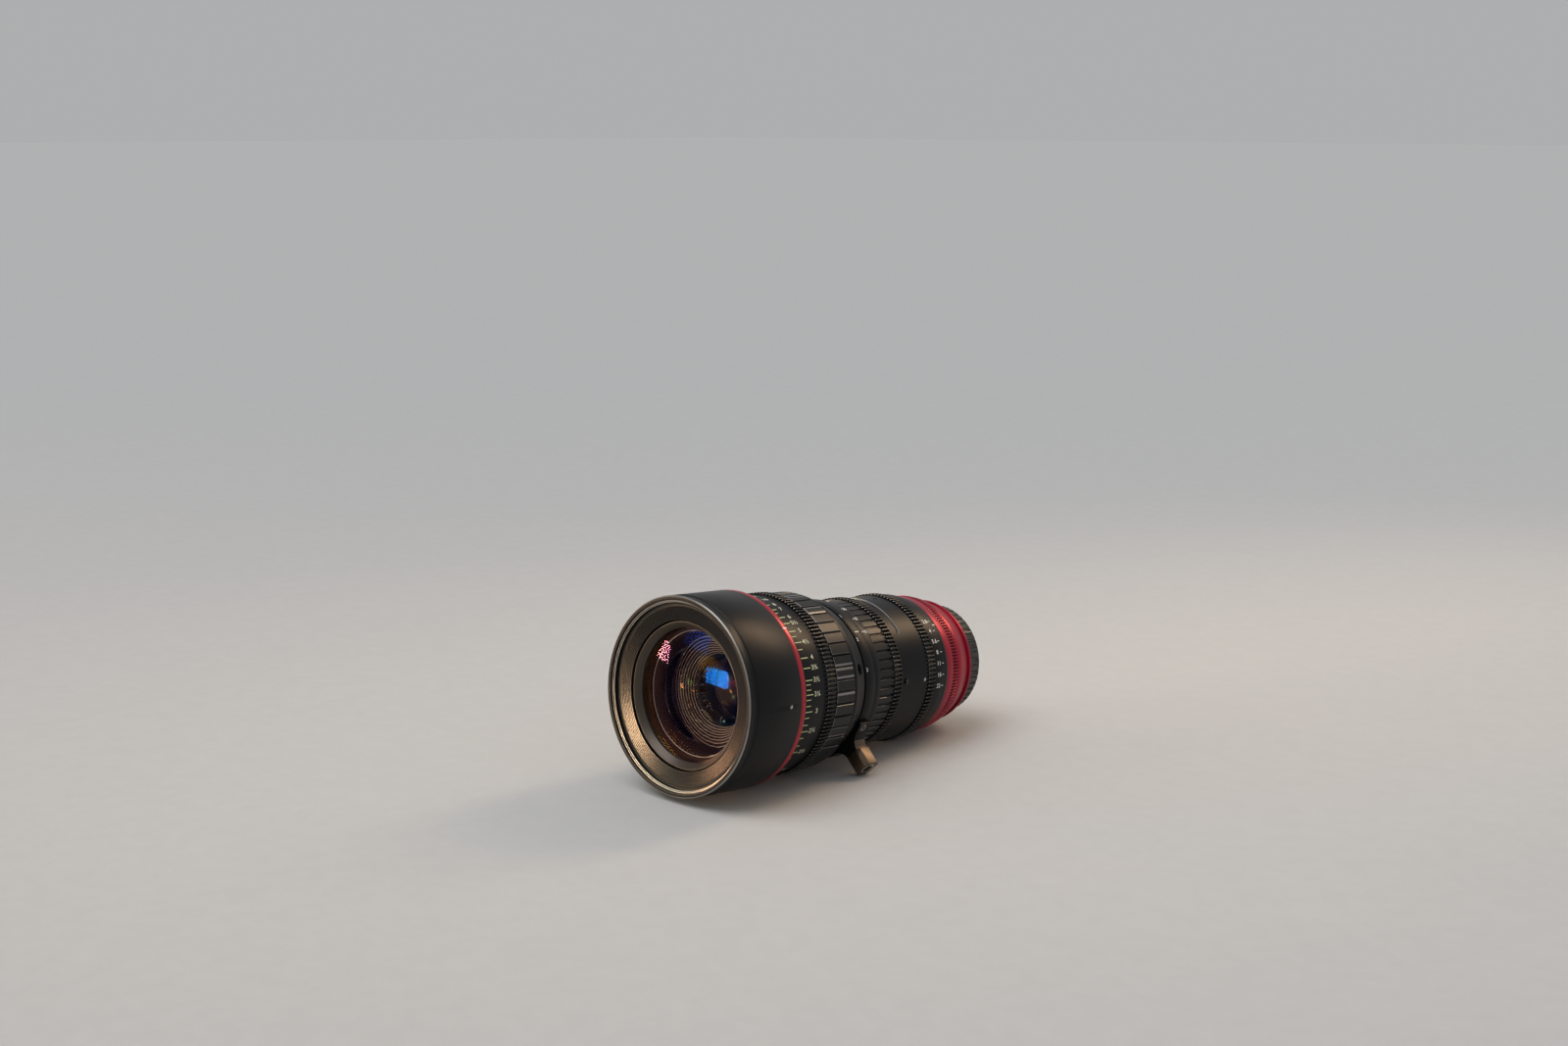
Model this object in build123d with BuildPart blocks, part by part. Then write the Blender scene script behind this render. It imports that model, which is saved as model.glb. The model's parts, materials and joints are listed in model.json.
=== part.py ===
# Cinema zoom lens lying on a table, as it rests on its front barrel, its iris gear and its support foot.
# Millimetres. The origin is the centre of the camera-mount flange on the optical axis, +Z is up, and the
# lens looks towards -Y. Distances along the axis are measured from a plane just inside the front rim, and
# angles about the axis from straight up, positive towards the side that the foot leans to.
from build123d import *
import os
from math import atan, copysign, cos, degrees, radians, sin, sqrt, tan

# Fits between the pieces
seat_gap = 0.05           # radial gap of a piece fixed in or on another
running_gap = 0.3         # radial gap under a ring that turns
sliding_gap = 0.3         # radial gap round a cell that slides
side_gap = 0.3            # gap between a turning ring and the fixed piece beside it
slot_gap = 0.1            # gap each side of a pin in its slot
pin_fit = 0.04            # radial gap of a blade's pivot in its hole
tip_gap = 0.3             # gap past the end of a pin

# Front barrel and its red band
front_radius = 57.0
rim_reach = 2.7           # from the rim's face back to the plane that distances are measured from
rim_chamfer = 0.8
rim_width = 2.6
rim_wall = 5.0
rim_lip_depth = 2.1
rim_lip_step = 1.2
rim_inner_radius = front_radius - rim_width
rim_groove_radius = front_radius - rim_wall
band_front = 39.0
band_width = 3.5
band_depth = 3.0
spigot_wall = 5.55        # wall of the front barrel inside the red band
front_shoulder = 9.0
front_web_rear = 29.0

# Front tube, which the focus ring turns on, and the rear tube, which the zoom and iris rings turn on
front_tube_outer = front_radius - band_depth - spigot_wall - seat_gap
front_tube_wall = 3.4
front_tube_inner = front_tube_outer - front_tube_wall
rear_barrel_radius = 44.5
rear_barrel_wall = 2.65
rear_tube_outer = rear_barrel_radius - rear_barrel_wall - seat_gap
rear_tube_wall = 2.3
rear_tube_inner = rear_tube_outer - rear_tube_wall
cam_wall = 2.4
cam_outer = rear_tube_inner - running_gap
cam_inner = cam_outer - cam_wall
guide_gap = 0.4
guide_wall = 2.1
guide_outer = cam_inner - guide_gap
guide_inner = guide_outer - guide_wall

# Front cell, its two glasses, the retaining ring and the light baffle
front_cell_gap = 1.0
front_cell_wall = 4.0
front_cell_radius = front_tube_inner - front_cell_gap
front_cell_rear = 55.0
front_glass_radius = front_cell_radius - front_cell_wall
front_glass_front_curve = 150.0
front_glass_seat = 21.2
front_glass_middle = 3.0
front_glass_land = 6.0
front_glass_clear = front_glass_radius - front_glass_land
retaining_lip = 2.0
retaining_rim = 1.9
retaining_bevel = 3.4
retaining_opening = front_glass_radius - retaining_lip
retaining_radius = front_glass_radius + retaining_rim
retaining_front = 3.8
baffle_rim_front = 1.4
baffle_rim_width = 1.2
baffle_throat_front = 3.2
baffle_ridges = 10
baffle_ridge_depth = 0.35
second_glass_radius = 27.0
second_glass_land = 3.0
second_glass_clear = second_glass_radius - second_glass_land
second_glass_front = 44.0
second_glass_rear = 52.3
second_glass_front_curve = 210.0
second_glass_rear_curve = 46.0
cone_steps = 10
cone_front_margin = 0.4
cone_rear_margin = 1.0
cone_front_radius = front_glass_clear + cone_front_margin
cone_rear_radius = second_glass_clear + cone_rear_margin

# Follow-focus gears, all of one tooth size, as high above their tubes as whole teeth allow
gear_module = 0.8
tooth_depth = 2.25 * gear_module
tooth_root_half = 0.3 * gear_module
tooth_gap_half = 0.95 * gear_module
tip_overcut = 0.2
focus_gear_rise = 5.2
focus_gear_width = 7.0
focus_teeth = 2 * round((front_tube_outer + focus_gear_rise) / gear_module) - 2
rear_gear_rise = 3.8
zoom_gear_width = 6.2
iris_gear_width = 6.4
zoom_teeth = 2 * round((rear_tube_outer + rear_gear_rise) / gear_module) - 2
iris_teeth = zoom_teeth

# Focus ring and the group that it moves
focus_rotation = 300.0
focus_travel = 8.0
focus_scale_radius = front_tube_outer + 3.9
focus_scale_length = 22.6
focus_sleeve_radius = front_tube_outer + 2.1
focus_groove_radius = front_tube_outer + 1.2
focus_grip_base = focus_sleeve_radius + 1.0
focus_grip_height = 1.0
focus_grip_radius = focus_grip_base + focus_grip_height
focus_grip_front = 74.4
focus_grip_length = 15.0
focus_grip_pads = 46
focus_grip_groove = 1.1
focus_cell_centre = 72.0
focus_cell_length = 20.0
focus_cell_wall = 2.4
focus_cell_flange = 6.0
focus_cell_hub = 3.0
focus_glass_radius = 30.0
focus_glass_land = 1.5
focus_glass_width = 3.0
focus_glass_front_curve = 80.0
focus_glass_rear_curve = -90.0
focus_pin_radius = 2.0
focus_pin_root = 3.4
focus_pin_rolls = (0, 120, 240)

# Centre barrel between the focus and zoom rings
centre_front_radius = front_tube_outer + 3.2
centre_front_land = 3.0
centre_slope_rear = 104.6
centre_rear_radius = rear_tube_outer + 4.4
centre_groove_offset = 0.4
centre_groove_width = 1.4
centre_groove_depth = 0.8
centre_rear = 114.6
accessory_hole_radius = 2.5
accessory_hole_depth = 5.0
accessory_hole_place = 98.6
accessory_hole_roll = 73.5
spot_face_radius = 3.3
spot_face_depth = 0.2
web_margin = 1.1
web_front = accessory_hole_place - accessory_hole_radius - web_margin
web_rear = accessory_hole_place + accessory_hole_radius + web_margin

# Zoom ring and the groups that it moves
zoom_rotation = 160.0
variator_travel = 24.0
compensator_travel = -8.0
zoom_scale_radius = rear_tube_outer + 3.2
zoom_scale_length = 6.3
zoom_sleeve_radius = rear_tube_outer + 1.1
zoom_grip_height = 0.8
zoom_grip_base = zoom_sleeve_radius + 0.8
zoom_grip_radius = zoom_grip_base + zoom_grip_height
zoom_grip_length = 13.0
zoom_grip_pads = 52
zoom_grip_groove = 1.6
zoom_key_radius = 2.0
zoom_key_roll = 36.0
follower_radius = 2.0
follower_root = 5.0
follower_rolls = (135, 315)
group_wall = 2.4
group_ledge = 2.6
group_ledge_width = 1.2
group_glass_land = 1.5
variator_centre = 122.0
variator_length = 16.0
variator_cell_width = 10.0
variator_glass_radius = guide_inner - sliding_gap - variator_cell_width
variator_glass_curve = 55.0
variator_glass_middle = 3.0
compensator_centre = 153.0
compensator_length = 10.0
compensator_cell_width = 14.0
compensator_glass_radius = guide_inner - sliding_gap - compensator_cell_width
compensator_glass_curve = 90.0
compensator_glass_middle = 2.4

# Rear barrel, iris and iris ring
rear_barrel_rear = 165.7
rear_slot_depth = 0.8
rear_slot_front = 141.2
rear_slot_width = 8.0
rear_slot_roll = 45.5
rear_slot_sweep = 70.0
rear_hole_place = 145.0
rear_hole_roll = 88.0
rear_hole_radius = 2.4
rear_hole_depth = 1.8
iris_rotation = 60.0
iris_scale_radius = rear_tube_outer + 2.5
iris_scale_rear = 182.0
iris_key_radius = 1.5
iris_key_root = 3.8
iris_opening = 15.5
iris_base_front = 163.0
iris_base_thickness = 2.0
blade_count = 11
blade_turn = 40.0
blade_thickness = 0.2
blade_gap = 0.1
blade_pivot_circle = 28.0
blade_lever = 7.5
blade_inner_radius = 16.2
blade_outer_radius = 25.0
blade_sweep = 79.0
blade_heel = 4.0
blade_ear_radius = 2.0
blade_ear_overlap = 1.0
blade_pin_radius = 0.5
blade_pin_margin = 0.4
drive_ring_thickness = 2.4
iris_cover_thickness = 1.6

# Rear of the lens and its mount
index_ring_radius = rear_tube_outer + 1.7
index_ring_fall = 0.5
index_ring_width = 4.6
collar_radius = rear_tube_outer + 0.6
collar_width = 6.0
lock_radius = rear_tube_outer + 0.5
lock_width = 5.4
lock_teeth = 135
lock_tooth_depth = 0.8
lock_tooth_half = 0.85
flange_distance = 222.0   # from that same plane to the flange that seats on the camera
flange_thickness = 2.8
flange_radius = 32.5
flange_ledge = 4.3
flange_ledge_depth = 2.5
housing_front_radius = rear_tube_outer - 0.5
housing_land = 3.6
housing_rim = 2.1
housing_rear_radius = flange_radius + housing_rim
housing_rear_bevel = 0.6
housing_flare = 2.8
housing_waist = housing_rear_radius + housing_flare
housing_waist_place = 213.0
housing_groove_depth = 0.4
housing_ridge_offset = 1.4
housing_ridge_height = 0.9
housing_ridge_width = 1.6
housing_ridge_foot = 0.6
housing_sleeve_wall = 3.4
housing_sleeve_outer = rear_tube_inner - seat_gap
housing_sleeve_inner = housing_sleeve_outer - housing_sleeve_wall
housing_wall = 4.0
housing_step = 1.0
bayonet_wall = 1.6
bayonet_throat = 23.4
bayonet_tube_radius = bayonet_throat + bayonet_wall
bayonet_depth = 5.5
claw_reach = 1.9
claw_radius = bayonet_tube_radius + claw_reach
claw_width = 1.8
claw_sweep = 52.0
claw_count = 3
mount_screw_count = 4
mount_screw_roll = 30.0
mount_screw_radius = 1.6
mount_screw_recess = 0.3
mount_screw_offset = 0.3
cross_length = 1.8
cross_width = 0.4
cross_depth = 0.7
relay_radius = housing_sleeve_inner - seat_gap
relay_rear_radius = bayonet_throat - 0.6
relay_rear = 219.4
relay_wall = 3.0
relay_rear_wall = 2.75
relay_glass_radius = relay_rear_radius - relay_rear_wall - seat_gap
relay_glass_land = 1.5
relay_bore = relay_glass_radius - 3.0
relay_glass_front = 205.0
relay_glass_edge = 4.0
relay_glass_front_curve = 60.0
relay_glass_rear_curve = -70.0

# Rear cap
cap_gap = 0.4
cap_wall = 1.1
cap_bore = flange_radius + cap_gap
cap_radius = cap_bore + cap_wall
cap_length = 9.3
cap_floor = 1.8
cap_edge = 1.0
cap_ribs = 54
cap_rib_depth = 0.5
cap_rib_offset = 0.1
cap_collar_gap = 0.5
cap_collar_wall = 1.4
cap_collar_front = 1.2
cap_lug_place = 2.2
cap_lug_width = 1.6
cap_lug_height = 2.6
cap_lug_offset = 0.1

# Support foot
foot_roll = 134.0         # how far the foot is turned from straight up
foot_front = 104.4
foot_width = 12.0
foot_half_width = 6.1
foot_chamfer = 2.3
foot_block_length = 11.5
foot_neck_half = 4.7
foot_neck_end = 1.0
foot_neck_flare = 2.0
foot_neck_curve = 0.28    # share of the neck's height at which its flare turns
foot_saddle_thickness = 3.0
foot_saddle_base = 2.0
foot_saddle_radius = centre_rear_radius + foot_saddle_thickness
foot_saddle_front = 105.2
foot_saddle_length = 9.2
foot_saddle_sweep = 41.0
foot_fillet_sweep = 24.0
foot_screw_spread = 16.4
foot_screw_radius = 1.2
foot_screw_head = 2.2
foot_screw_recess = 0.2
foot_head_depth = 1.6
foot_screw_reach = 2.8
foot_socket_radius = 1.3
foot_socket_floor = 0.4
foot_thread_radius = 3.175
foot_thread_depth = 9.0
foot_insert_radius = 4.4

# Small slotted screws in the barrels, by place and roll
screw_radius = 1.3
screw_depth = 2.4
screw_recess = 0.3
screw_slot_width = 0.5
screw_slot_depth = 0.6
front_screws = [(31.0, 89.0), (36.6, -8.0), (31.0, 210.0)]
rear_screws = [(163.3, 89.0), (158.7, 6.0), (158.7, 210.0)]

index_roll = 45.0         # where the index marks of the rings stand
cut_over = 1.0            # how far a cutter runs past the surface that it opens

# Places that follow from the sizes above
focus_tip_radius = gear_module * (focus_teeth + 2) / 2
iris_tip_radius = gear_module * (iris_teeth + 2) / 2
band_rear = band_front + band_width
focus_ring_front = band_rear + side_gap
focus_gear_front = focus_ring_front + focus_scale_length
focus_gear_rear = focus_gear_front + focus_gear_width
focus_ring_rear = focus_grip_front + focus_grip_length
centre_front = focus_ring_rear + side_gap
centre_slope_front = centre_front + centre_front_land
zoom_ring_front = centre_rear + side_gap
zoom_grip_front = zoom_ring_front + zoom_scale_length
zoom_gear_front = zoom_grip_front + zoom_grip_length
zoom_ring_rear = zoom_gear_front + zoom_gear_width
zoom_key_place = zoom_gear_front + zoom_gear_width / 2
rear_barrel_front = zoom_ring_rear + side_gap
iris_ring_front = rear_barrel_rear + side_gap
iris_gear_rear = iris_ring_front + iris_gear_width
index_ring_front = iris_scale_rear + side_gap
collar_front = index_ring_front + index_ring_width
lock_front = collar_front + collar_width + side_gap
lock_rear = lock_front + lock_width
housing_front = lock_rear + side_gap
housing_rear = flange_distance - 1.0
cap_front = housing_rear + side_gap
blade_level = blade_thickness + blade_gap
iris_base_rear = iris_base_front + iris_base_thickness
blade_stack_rear = iris_base_rear + blade_gap + blade_count * blade_level
drive_ring_front = blade_stack_rear + side_gap
drive_ring_rear = drive_ring_front + drive_ring_thickness
iris_key_place = (drive_ring_front + drive_ring_rear) / 2
iris_cover_front = drive_ring_rear + side_gap
iris_cover_rear = iris_cover_front + iris_cover_thickness
focus_lead = focus_travel / focus_rotation
variator_lead = variator_travel / zoom_rotation
compensator_lead = compensator_travel / zoom_rotation

# The lens lies on the rear edge of its red band and on the first of these edges to meet the table, which
# is that of the iris gear
resting_edges = [
    (focus_gear_rear, focus_tip_radius),
    (focus_ring_rear, focus_grip_radius),
    (centre_slope_front, centre_front_radius),
    (centre_rear, centre_rear_radius),
    (iris_gear_rear, iris_tip_radius),
]
tilt = min(atan((front_radius - radius) / (place - band_rear)) for place, radius in resting_edges)
REAR = Vector(0, cos(tilt), -sin(tilt))
UP = Vector(0, sin(tilt), cos(tilt))
SIDE = Vector(1, 0, 0)
FRONT = REAR * -flange_distance
OPTICAL_AXIS = Axis(FRONT, REAR)
SECTION = Plane(FRONT, x_dir=REAR, z_dir=SIDE)


def outward(roll):
    """Direction away from the optical axis at an angle about it."""
    return UP * cos(radians(roll)) + SIDE * sin(radians(roll))


def across(place, roll=0):
    """Plane across the optical axis, its x direction at an angle about the axis."""
    return Plane(FRONT + REAR * place, x_dir=outward(roll), z_dir=REAR)


def facing(place, roll, radius=0):
    """Plane that faces away from the optical axis, its x direction along the axis."""
    return Plane(FRONT + REAR * place + outward(roll) * radius, x_dir=REAR, z_dir=outward(roll))


def turned(*points, mode=Mode.ADD):
    """Profile of distances along the axis and radii, turned about the axis."""
    with BuildSketch(SECTION) as profile:
        with BuildLine():
            Polyline(*points, close=True)
        make_face()
    return revolve(profile.sketch, axis=OPTICAL_AXIS, mode=mode)


def ring(front, rear, inner, outer, mode=Mode.ADD):
    """Plain ring about the optical axis."""
    return turned((front, inner), (rear, inner), (rear, outer), (front, outer), mode=mode)


def arc_slot(place, width, inner, outer, roll, sweep):
    """Cut a slot round part of a tube, centred at an angle about the axis."""
    start = Plane(FRONT, x_dir=REAR, z_dir=REAR.cross(outward(roll - sweep / 2)))
    with BuildSketch(start) as profile:
        with Locations((place, (inner + outer) / 2)):
            Rectangle(width, outer - inner)
    revolve(profile.sketch, axis=OPTICAL_AXIS, revolution_arc=sweep, mode=Mode.SUBTRACT)


def axial_slot(place, length, width, inner, outer, roll):
    """Cut a straight slot along a tube's wall."""
    with BuildSketch(facing(place, roll, inner)) as profile:
        SlotCenterToCenter(length, width)
    extrude(profile.sketch, amount=outer - inner, mode=Mode.SUBTRACT)


def cam_slot(place, roll, lead, rotation, inner, outer, pin_radius):
    """Cut the helical slot that moves a guided pin along the axis by lead for each degree turned."""
    width = 2 * (pin_radius + slot_gap)
    radius = (inner + outer) / 2
    half = rotation / 2 + degrees((pin_radius + tip_gap) / radius)
    start = across(place - abs(lead) * half, roll + copysign(half, lead))
    coil = Helix(360 * abs(lead), 2 * half * abs(lead), radius, lefthand=lead > 0)
    path = coil.moved(start.location)
    with BuildSketch(Plane(path @ 0, x_dir=start.x_dir, z_dir=path % 0)) as profile:
        Rectangle(outer - inner, width)
    sweep(profile.sketch, path=path, is_frenet=True, mode=Mode.SUBTRACT)


def radial_pin(place, roll, inner, outer, radius, mode=Mode.ADD):
    """Round pin that points away from the optical axis."""
    with BuildSketch(facing(place, roll, inner)) as profile:
        Circle(radius)
    return extrude(profile.sketch, amount=outer - inner, mode=mode)


def sag(curve, radius):
    """How far a spherical face falls away at a radius from its apex."""
    return curve - copysign(sqrt(curve**2 - radius**2), curve)


def dish_curve(clear, depth):
    """Curve of a spherical face that is so deep at its clear radius."""
    return (clear**2 + depth**2) / (2 * depth)


def glass(front_seat, front_curve, front_clear, rear_seat, rear_curve, rear_clear, edge):
    """Round lens element: spherical faces inside flat seats, the curves positive when bulging forwards."""
    front_apex = front_seat - sag(front_curve, front_clear)
    rear_apex = rear_seat - sag(rear_curve, rear_clear)
    front_half = (front_apex + sag(front_curve, front_clear / 2), front_clear / 2)
    rear_half = (rear_apex + sag(rear_curve, rear_clear / 2), rear_clear / 2)
    with BuildSketch(SECTION) as profile:
        with BuildLine():
            ThreePointArc((front_apex, 0), front_half, (front_seat, front_clear))
            Polyline(
                (front_seat, front_clear),
                (front_seat, edge),
                (rear_seat, edge),
                (rear_seat, rear_clear),
            )
            ThreePointArc((rear_seat, rear_clear), rear_half, (rear_apex, 0))
            Line((rear_apex, 0), (front_apex, 0))
        make_face()
    revolve(profile.sketch, axis=OPTICAL_AXIS)


def gear_ring(front, width, bore, teeth):
    """Follow-focus gear: a ring with straight-sided teeth cut into its rim."""
    tip = gear_module * (teeth + 2) / 2
    ring(front, front + width, bore, tip)
    with BuildSketch(across(front)) as gaps:
        with PolarLocations(tip, teeth):
            Polygon(
                (-tooth_depth, -tooth_root_half),
                (tip_overcut, -tooth_gap_half),
                (tip_overcut, tooth_gap_half),
                (-tooth_depth, tooth_root_half),
                align=None,
            )
    extrude(gaps.sketch, amount=width, mode=Mode.SUBTRACT)


def grip_pads(front, length, base, top, count, groove):
    """Grooves that part a plain ring's rim into raised pads."""
    with BuildSketch(across(front)) as gaps:
        with PolarLocations((base + top + cut_over) / 2, count):
            Rectangle(top - base + cut_over, groove)
    extrude(gaps.sketch, amount=length, mode=Mode.SUBTRACT)


def hand_over(piece, node):
    """Label a finished piece and write it under its node's name."""
    piece.part.label = node
    export_step(piece.part, f"parts/{node}.step")


def make_front_barrel():
    with BuildPart() as front_barrel:
        turned(
            (-rim_reach, rim_inner_radius),
            (-rim_reach, front_radius - rim_chamfer),
            (rim_chamfer - rim_reach, front_radius),
            (band_front, front_radius),
            (band_front, front_radius - band_depth),
            (band_rear, front_radius - band_depth),
            (band_rear, front_tube_outer + seat_gap),
            (front_web_rear, front_tube_outer + seat_gap),
            (front_web_rear, front_cell_radius + seat_gap),
            (front_shoulder, front_cell_radius + seat_gap),
            (front_shoulder, rim_groove_radius),
            (rim_lip_depth - rim_reach, rim_groove_radius),
            (rim_lip_depth - rim_reach, rim_inner_radius - rim_lip_step),
        )
        for place, roll in front_screws:
            floor = front_radius - screw_depth
            radial_pin(place, roll, floor, front_radius + cut_over, screw_radius, Mode.SUBTRACT)
    hand_over(front_barrel, "front_barrel")


def make_red_band():
    with BuildPart() as red_band:
        ring(band_front, band_rear, front_radius - band_depth + seat_gap, front_radius)
    hand_over(red_band, "red_band")


def make_light_baffle_ring():
    outer = rim_groove_radius - seat_gap
    inner = retaining_radius + seat_gap
    step = (outer - baffle_rim_width - inner) / baffle_ridges
    fall = (baffle_throat_front - baffle_rim_front) / baffle_ridges
    points = [(front_shoulder, inner), (front_shoulder, outer), (baffle_rim_front, outer)]
    for ridge in range(baffle_ridges):
        radius = outer - baffle_rim_width - ridge * step
        place = baffle_rim_front + ridge * fall
        points.append((place, radius))
        points.append((place + fall / 2 + baffle_ridge_depth, radius - step / 2))
    points.append((baffle_throat_front, inner))
    with BuildPart() as light_baffle_ring:
        turned(*points)
    hand_over(light_baffle_ring, "light_baffle_ring")


def make_front_glass():
    front_apex = front_shoulder - sag(front_glass_front_curve, retaining_opening)
    rear_curve = dish_curve(front_glass_clear, front_glass_seat - front_apex - front_glass_middle)
    with BuildPart() as front_element:
        glass(
            front_shoulder,
            front_glass_front_curve,
            retaining_opening,
            front_glass_seat,
            rear_curve,
            front_glass_clear,
            front_glass_radius,
        )
    hand_over(front_element, "front_element")
    with BuildPart() as front_retaining_ring:
        turned(
            (retaining_front, retaining_opening + retaining_bevel),
            (retaining_front, retaining_radius),
            (front_shoulder - seat_gap, retaining_radius),
            (front_shoulder - seat_gap, retaining_opening),
            (retaining_front + retaining_bevel, retaining_opening),
        )
    hand_over(front_retaining_ring, "front_retaining_ring")


def make_front_cell():
    rise = (cone_front_radius - cone_rear_radius) / cone_steps
    run = (second_glass_front - front_glass_seat) / cone_steps
    points = [
        (front_shoulder, front_glass_radius + seat_gap),
        (front_glass_seat, front_glass_radius + seat_gap),
    ]
    for step in range(cone_steps):
        points.append((front_glass_seat + step * run, cone_front_radius - step * rise))
        points.append((front_glass_seat + (step + 1) * run, cone_front_radius - step * rise))
    points.append((second_glass_front, second_glass_radius + seat_gap))
    points.append((front_cell_rear, second_glass_radius + seat_gap))
    points.append((front_cell_rear, front_cell_radius))
    points.append((front_shoulder, front_cell_radius))
    with BuildPart() as front_cell:
        turned(*points)
    hand_over(front_cell, "front_cell")
    with BuildPart() as second_element:
        glass(
            second_glass_front,
            second_glass_front_curve,
            second_glass_clear,
            second_glass_rear,
            second_glass_rear_curve,
            second_glass_clear,
            second_glass_radius,
        )
    hand_over(second_element, "second_element")


def make_focus_ring():
    bore = front_tube_outer + running_gap
    with BuildPart() as focus_scale_ring:
        turned(
            (focus_ring_front, bore),
            (focus_ring_rear, bore),
            (focus_ring_rear, focus_sleeve_radius),
            (focus_gear_front, focus_sleeve_radius),
            (focus_gear_front, focus_scale_radius),
            (focus_ring_front, focus_scale_radius),
        )
        cam_slot(
            focus_cell_centre,
            focus_pin_rolls[0],
            focus_lead,
            focus_rotation,
            bore - cut_over,
            focus_groove_radius,
            focus_pin_radius,
        )
    hand_over(focus_scale_ring, "focus_scale_ring")
    sleeve = focus_sleeve_radius + seat_gap
    with BuildPart() as focus_gear:
        gear_ring(focus_gear_front, focus_gear_width, sleeve, focus_teeth)
    hand_over(focus_gear, "focus_gear")
    with BuildPart() as focus_grip:
        turned(
            (focus_gear_rear, sleeve),
            (focus_ring_rear, sleeve),
            (focus_ring_rear, focus_grip_radius),
            (focus_grip_front, focus_grip_radius),
            (focus_grip_front, focus_grip_base),
            (focus_gear_rear, focus_grip_base),
        )
        grip_pads(
            focus_grip_front,
            focus_grip_length,
            focus_grip_base,
            focus_grip_radius,
            focus_grip_pads,
            focus_grip_groove,
        )
    hand_over(focus_grip, "focus_grip")


def make_focus_cell():
    outer = front_tube_inner - sliding_gap
    inner = outer - focus_cell_wall
    pin_root = outer - focus_pin_root
    front = focus_cell_centre - focus_cell_length / 2
    rear = focus_cell_centre + focus_cell_length / 2
    bore = focus_glass_radius + seat_gap
    hub_rear = rear - focus_cell_hub
    glass_rear = hub_rear - focus_cell_wall
    glass_front = glass_rear - focus_glass_width
    clear = focus_glass_radius - focus_glass_land
    with BuildPart() as focus_cell:
        turned(
            (front, outer),
            (rear, outer),
            (rear, inner),
            (rear - focus_cell_flange, inner),
            (rear - focus_cell_flange, bore + focus_cell_hub),
            (hub_rear, bore + focus_cell_hub),
            (hub_rear, clear),
            (glass_rear, clear),
            (glass_rear, bore),
            (front + focus_cell_wall, bore),
            (front + focus_cell_wall, bore + focus_cell_hub),
            (front + focus_cell_flange, bore + focus_cell_hub),
            (front + focus_cell_flange, inner),
            (front, inner),
        )
        bore = focus_pin_radius + seat_gap
        for roll in focus_pin_rolls:
            radial_pin(focus_cell_centre, roll, pin_root, outer + cut_over, bore, Mode.SUBTRACT)
    hand_over(focus_cell, "focus_cell")
    with BuildPart() as focus_element:
        glass(
            glass_front,
            focus_glass_front_curve,
            clear,
            glass_rear,
            focus_glass_rear_curve,
            clear,
            focus_glass_radius,
        )
    hand_over(focus_element, "focus_element")
    with BuildPart() as focus_followers:
        driven_roll, *guided_rolls = focus_pin_rolls
        tip = focus_groove_radius - tip_gap
        radial_pin(focus_cell_centre, driven_roll, pin_root, tip, focus_pin_radius)
        for roll in guided_rolls:
            radial_pin(focus_cell_centre, roll, pin_root, front_tube_outer - tip_gap, focus_pin_radius)
    hand_over(focus_followers, "focus_followers")


def make_focus_guide_tube():
    with BuildPart() as focus_guide_tube:
        ring(front_web_rear, web_front, front_tube_inner, front_tube_outer)
        for roll in focus_pin_rolls:
            axial_slot(
                focus_cell_centre,
                focus_travel + 2 * tip_gap,
                2 * (focus_pin_radius + slot_gap),
                front_tube_inner - cut_over,
                front_tube_outer + cut_over,
                roll,
            )
    hand_over(focus_guide_tube, "focus_guide_tube")


def slope_radius(place):
    """Radius of the centre barrel's sloping shell at a place along the axis."""
    share = (place - centre_slope_front) / (centre_slope_rear - centre_slope_front)
    return centre_front_radius + (centre_rear_radius - centre_front_radius) * share


def make_centre_barrel():
    groove_front = centre_slope_rear + centre_groove_offset
    groove_rear = groove_front + centre_groove_width
    with BuildPart() as centre_barrel:
        turned(
            (centre_front, front_tube_outer + seat_gap),
            (centre_front, centre_front_radius),
            (centre_slope_front, centre_front_radius),
            (centre_slope_rear, centre_rear_radius),
            (groove_front, centre_rear_radius),
            (groove_front, centre_rear_radius - centre_groove_depth),
            (groove_rear, centre_rear_radius - centre_groove_depth),
            (groove_rear, centre_rear_radius),
            (centre_rear, centre_rear_radius),
            (centre_rear, rear_tube_outer + seat_gap),
            (web_rear, rear_tube_outer + seat_gap),
            (web_rear, guide_outer + seat_gap),
            (web_front, guide_outer + seat_gap),
            (web_front, front_tube_outer + seat_gap),
        )
        lowest = slope_radius(accessory_hole_place + spot_face_radius)
        spot_face = sqrt(lowest**2 - spot_face_radius**2) - spot_face_depth
        for floor, radius in (
            (spot_face, spot_face_radius),
            (spot_face - accessory_hole_depth, accessory_hole_radius),
        ):
            top = centre_front_radius + cut_over
            radial_pin(accessory_hole_place, accessory_hole_roll, floor, top, radius, Mode.SUBTRACT)
        for roll in (foot_roll - foot_screw_spread, foot_roll + foot_screw_spread):
            middle = foot_saddle_front + foot_saddle_length / 2
            floor = centre_rear_radius - foot_screw_reach
            bore = foot_screw_radius + seat_gap
            radial_pin(middle, roll, floor, centre_rear_radius + cut_over, bore, Mode.SUBTRACT)
    hand_over(centre_barrel, "centre_barrel")


def floor_depth(place):
    """Distance from the optical axis down to the table, square to the axis."""
    return front_radius - (place - band_rear) * tan(tilt)


def foot_end():
    """Reach of the foot from the optical axis, so that the edge of its block stands on the table."""
    lean = radians(180 - foot_roll)
    corner = foot_front + foot_width - foot_chamfer
    return (floor_depth(corner) - foot_half_width * sin(lean)) / cos(lean)


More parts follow.
